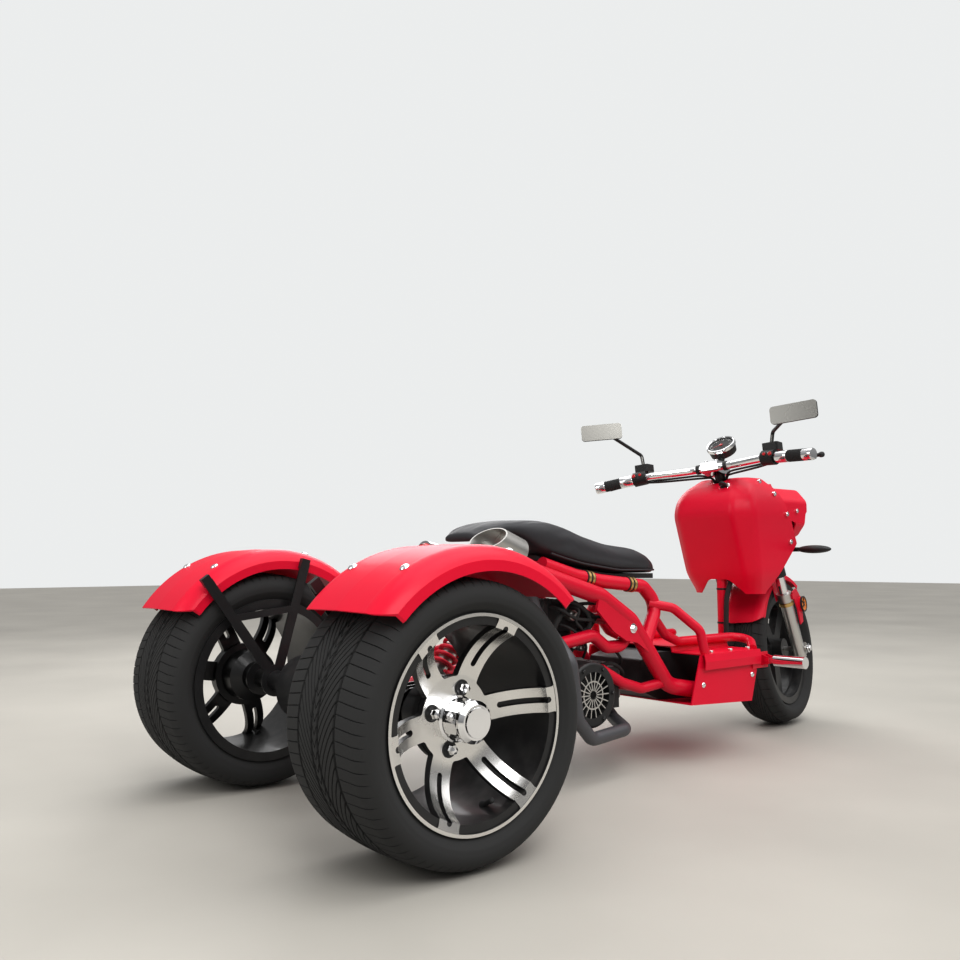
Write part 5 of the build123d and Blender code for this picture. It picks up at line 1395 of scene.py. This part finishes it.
@dataclass
class Gauge:
    """Bright rim, scale marks and needle of the round gauge."""

    at_mm: tuple[float, float, float] = (1478.0, 0.0, 926.0)
    facing: tuple[float, float, float] = GAUGE_FACING
    marks: int = 25
    first_deg: float = 220.0
    sweep_deg: float = 260.0
    long_every: int = 4
    # inner radius, half width
    long_mark_m: tuple[float, float] = (0.0280, 0.0009)
    short_mark_m: tuple[float, float] = (0.0325, 0.0005)
    mark_end_m: float = 0.0375
    mark_depth_m: float = 0.0027
    rim_profile: Profile = ((0.0418, -0.0032), (0.0420, 0.0012), (0.0440, 0.0030), (0.0468, 0.0022),
                            (0.0482, -0.003), (0.0480, -0.009), (0.0462, -0.011))
    needle_deg: float = 12.0
    needle_depth_m: float = 0.0020
    # radius, half width
    needle_m: Profile = ((-0.008, 0.0016), (0.0300, 0.0006))
    boss_depth_m: float = 0.0030
    boss_profile: Profile = ((0.0050, 0.0), (0.0050, 0.0022), (0.0036, 0.0030))

    def build(self) -> None:
        """Builds the rim, the marks and the needle."""
        turn = STEER_TURN.to_3x3()
        centre, out = steered(*self.at_mm), turn @ Vector(self.facing).normalized()
        right = turn @ Vector((0, -1, 0))
        up = out.cross(right).normalized()
        rim, marks, needle = Soup(), Soup(), Soup()
        rim.lathe(centre, out, self.rim_profile, 48)
        face = centre - out * self.mark_depth_m
        for k in range(self.marks):
            angle = math.radians(self.first_deg - self.sweep_deg * k / (self.marks - 1))
            radial = right * math.cos(angle) + up * math.sin(angle)
            across = out.cross(radial)
            inner, half = self.short_mark_m if k % self.long_every else self.long_mark_m
            span = (inner, self.mark_end_m)
            marks.grid([[face + radial * r + across * w for w in (-half, half)] for r in span],
                       around=False)
        angle = math.radians(self.first_deg - self.needle_deg)
        radial = right * math.cos(angle) + up * math.sin(angle)
        across = out.cross(radial)
        needle.grid([[centre - out * self.needle_depth_m + radial * r + across * w for w in (-half, half)]
                     for r, half in self.needle_m], around=False)
        needle.lathe(centre - out * self.boss_depth_m, out, self.boss_profile, 20)
        settle(rim.piece("gauge_rim", CHROME), "steering")
        settle(marks.piece("gauge_marks", DIAL_WHITE), "steering")
        settle(needle.piece("gauge_needle", RED_LENS), "steering")


@dataclass(frozen=True)
class Hose:
    """One hose or cable on the chassis."""

    radius_mm: float
    route_mm: tuple[tuple[float, float, float], ...]


@dataclass
class Plumbing:
    """Hoses, cables and unions round the engine, and the conduit beside the down tube."""

    hoses: tuple[Hose, ...] = (
        Hose(8.0,
             ((1440, -2, 284), (1424, -22, 306), (1421, -27, 370), (1428, -27, 430), (1452, -29, 486),
              (1478, -30, 540))),
        Hose(7.0, ((690, -40, 436), (640, -96, 424), (592, -104, 376), (604, -98, 322), (640, -84, 286))),
        Hose(5.0, ((768, -60, 396), (722, -108, 376), (668, -110, 350), (650, -96, 296), (662, -80, 286))),
        Hose(4.0, ((884, -40, 246), (846, -96, 280), (760, -108, 336), (704, -66, 372))),
        Hose(6.0, ((604, -60, 440), (566, -84, 432), (556, -90, 360), (592, -86, 276))),
        Hose(5.0, ((884, -60, 216), (850, -96, 246), (790, -108, 272), (742, -86, 258))),
        Hose(5.0, ((700, 30, 438), (640, 92, 420), (600, 96, 350), (620, 88, 286))),
        Hose(4.5, ((780, -66, 392), (800, -104, 400), (760, -104, 430), (690, -66, 428))),
        Hose(6.0,
             ((612, -50, 436), (640, -112, 440), (690, -122, 410), (700, -120, 372), (676, -112, 340),
              (640, -70, 284))),
        Hose(4.5, ((612, -50, 428), (604, -112, 420), (650, -124, 396), (716, -120, 388), (752, -52, 368))),
        Hose(3.5, ((614, -52, 386), (620, -120, 376), (660, -124, 352), (690, -118, 322), (716, -78, 284))),
        Hose(3.5, ((644, -52, 436), (656, -124, 420), (648, -124, 390), (668, -124, 366), (700, -52, 346))),
    )
    unions_mm: tuple[tuple[float, float, float, float, float], ...] = (
        # place, radius, length
        (622, -50, 318, 15, 64), (655, -50, 327, 11, 60), (612, -50, 344, 9, 52), (700, -50, 318, 8, 58),
        (668, -50, 402, 12, 58), (724, -50, 352, 10, 48))
    # radius and height of a union as shares of its own
    union_shares: Profile = ((1.0, 0.0), (1.0, 0.5), (1.2, 0.54), (1.2, 0.8), (0.8, 0.84), (0.7, 1.0))
    tie_heights_mm: tuple[float, ...] = (345.0, 452.0)
    down_mm: tuple[float, float] = (1440.0, 0.0)
    down_r_mm: float = 16.0

    def build(self) -> None:
        """Builds the lines, the unions and the ties, each as one mesh."""
        lines, ties, unions = Soup(), Soup(), Soup()
        for hose in self.hoses:
            lines.pipe(flowing([station(*point) for point in hose.route_mm]), hose.radius_mm * MM, 12)
        for x, y, z, radius, long in self.unions_mm:
            r, end = radius * MM, long * MM
            profile = [(r * wide, end * run) for wide, run in self.union_shares]
            unions.lathe(station(x, y, z), Vector((0, -1, 0)), profile, 24)
        settle(unions.piece("engine_unions", SILVER), "chassis")
        r = self.down_r_mm * MM
        for height in self.tie_heights_mm:
            place = station(*self.down_mm, height)
            ties.lathe(place, Vector((0, 0, 1)), band(r, rise=0.0014, half=0.003, flat=0.0025), 28)
        settle(lines.piece("hoses", GRIP, 60), "chassis")
        settle(ties.piece("conduit_ties", BLACK_PLASTIC), "chassis")


@dataclass
class Clamps:
    """Double clamps on the seat rails and the ring clamp on each fork leg."""

    rail_mm: tuple[tuple[float, float], ...] = ((661, 505), (754, 490), (925, 474))
    rail_y_mm: float = 108.0
    rail_r_mm: float = 18.5
    at_mm: tuple[float, ...] = (707.0, 871.0)
    leg_height_mm: float = 168.0
    leg_lead_mm: float = 22.0
    leg_half_mm: float = 97.0
    leg_r_mm: float = 20.0

    def build(self) -> None:
        """Builds the gold bands and their rubber pads."""
        bands, pads, rings = Soup(), Soup(), Soup()
        r = self.rail_r_mm * MM
        for side in SIDES:
            for x in self.at_mm:
                place = station(x, side * self.rail_y_mm, along_table(self.rail_mm, x))
                ahead = station(x + 5, side * self.rail_y_mm, along_table(self.rail_mm, x + 5))
                along = (ahead - place).normalized()
                pads.lathe(place, along, band(r, rise=0.0014, half=0.0150, flat=0.0145), 32)
                for middle in (-0.0072, 0.0072):
                    bands.lathe(place, along, band(r, rise=0.0026, half=0.0042, flat=0.0040, middle=middle),
                                32)
            ahead = STEER_UP.cross(Vector((0, 1, 0))).normalized() * -1
            leg = Vector((0, side * self.leg_half_mm * MM, 0)) + ahead * (self.leg_lead_mm * MM)
            place = STEER_AT + STEER_TURN @ (STEER_UP * (self.leg_height_mm * MM) + leg)
            rings.lathe(place, STEER_UP, band(self.leg_r_mm * MM, rise=0.0030, half=0.006, flat=0.0055), 32)
        settle(bands.piece("rail_clamp_bands", GOLD), "chassis")
        settle(pads.piece("rail_clamp_pads", GRIP), "chassis")
        settle(rings.piece("fork_clamp_rings", GOLD), "steering")


FENDER_MIDDLE_MM = (22.0, 400.0, 263.0)
FENDER_TOP_MM = 311.2
FAN_FACE_MM = (655.0, -176.0, 208.0)
FAN_BOLT_CIRCLE_MM = 70.0
FAN_BOLTS = 6


def on_fender(side: int, angle_deg: float, offset_mm: float) -> Fastener:
    """Rivet on the top of a rear fender, by its angle and its offset from the wheel's middle."""
    angle = math.radians(angle_deg)
    x, y, z = FENDER_MIDDLE_MM
    place = (x + FENDER_TOP_MM * math.cos(angle), side * y + offset_mm, z + FENDER_TOP_MM * math.sin(angle))
    return Fastener(place, (math.cos(angle), 0, math.sin(angle)), 9.5, Head.DOME)


def on_cowl(side: int, x: float, z: float) -> Fastener:
    """Bolt on the cowl's side wall near its flange."""
    return Fastener((x, side * (Cowl().value(4, z) + 1.2), z), (0, side, 0), 7.5, Head.SOCKET)


def on_fan(index: int) -> Fastener:
    """Bolt on the rim of the fan cover, by its number round the rim."""
    angle = math.tau * index / FAN_BOLTS
    x, y, z = FAN_FACE_MM
    place = (x + FAN_BOLT_CIRCLE_MM * math.cos(angle), y, z + FAN_BOLT_CIRCLE_MM * math.sin(angle))
    return Fastener(place, (0, -1, 0), 5.0, Head.HEX)


CHASSIS_BOLTS = Fasteners(
    "chassis_bolts", "chassis", CHROME, "chrome", False,
    tuple(on_fender(side, angle, offset) for side in SIDES for angle in (120, 74) for offset in (-85, 85))
    + tuple(Fastener((827, side * 159.2, 365), (0, side, 0), 9.0, Head.HEX) for side in SIDES)
    + tuple(Fastener((x, side * 209.2, z), (0, side, 0), 8.0, Head.DOME)
            for side in SIDES for x, z in ((1055, 202), (1284, 213)))
    + tuple(Fastener((1745, side * 86.2, 709), (0, side, 0), 7.0, Head.SOCKET) for side in SIDES)
    + tuple(Fastener((x, side * 196, 285.2), (0, 0, 1), 6.5, Head.SOCKET)
            for side in SIDES for x in (1110, 1200, 1285)),
)
COWL_BOLTS = Fasteners(
    "cowl_bolts", "chassis", CHROME, "chrome", False,
    tuple(on_cowl(side, x, z)
          for side in SIDES for x, z in ((1528, 754), (1598, 602), (1500, 794), (1572, 690))),
)
FORK_BOLTS = Fasteners(
    "fork_bolts", "steering", CHROME, "chrome", True,
    tuple(Fastener((1720, side * 125, 243), (0, side, 0), 10.5, Head.HEX) for side in SIDES)
    + tuple(Fastener((1389, y, 858.2), (0, 0, 1), 5.5, Head.SOCKET) for y in (-18, 18)),
)
ENGINE_BOLTS = Fasteners(
    "engine_bolts", "chassis", BLACK_STEEL, "black_metal", False,
    tuple(on_fan(k) for k in range(FAN_BOLTS)),
)


def main() -> None:
    """Builds the stage, dresses the solids and adds the pieces in order."""
    logging.basicConfig(level=logging.INFO, format="%(name)s %(message)s")
    Stage().build()
    Solids().build()
    for side in SIDES:
        RearWheel(side).build()
    FrontWheel().build()
    Seat().build()
    Springs().build()
    Cowl().build()
    Signals().build()
    Reflectors().build()
    Bar().build()
    Gauge().build()
    Plumbing().build()
    Clamps().build()
    for group in (CHASSIS_BOLTS, COWL_BOLTS, FORK_BOLTS, ENGINE_BOLTS):
        group.build()


if __name__ == "__main__":
    main()
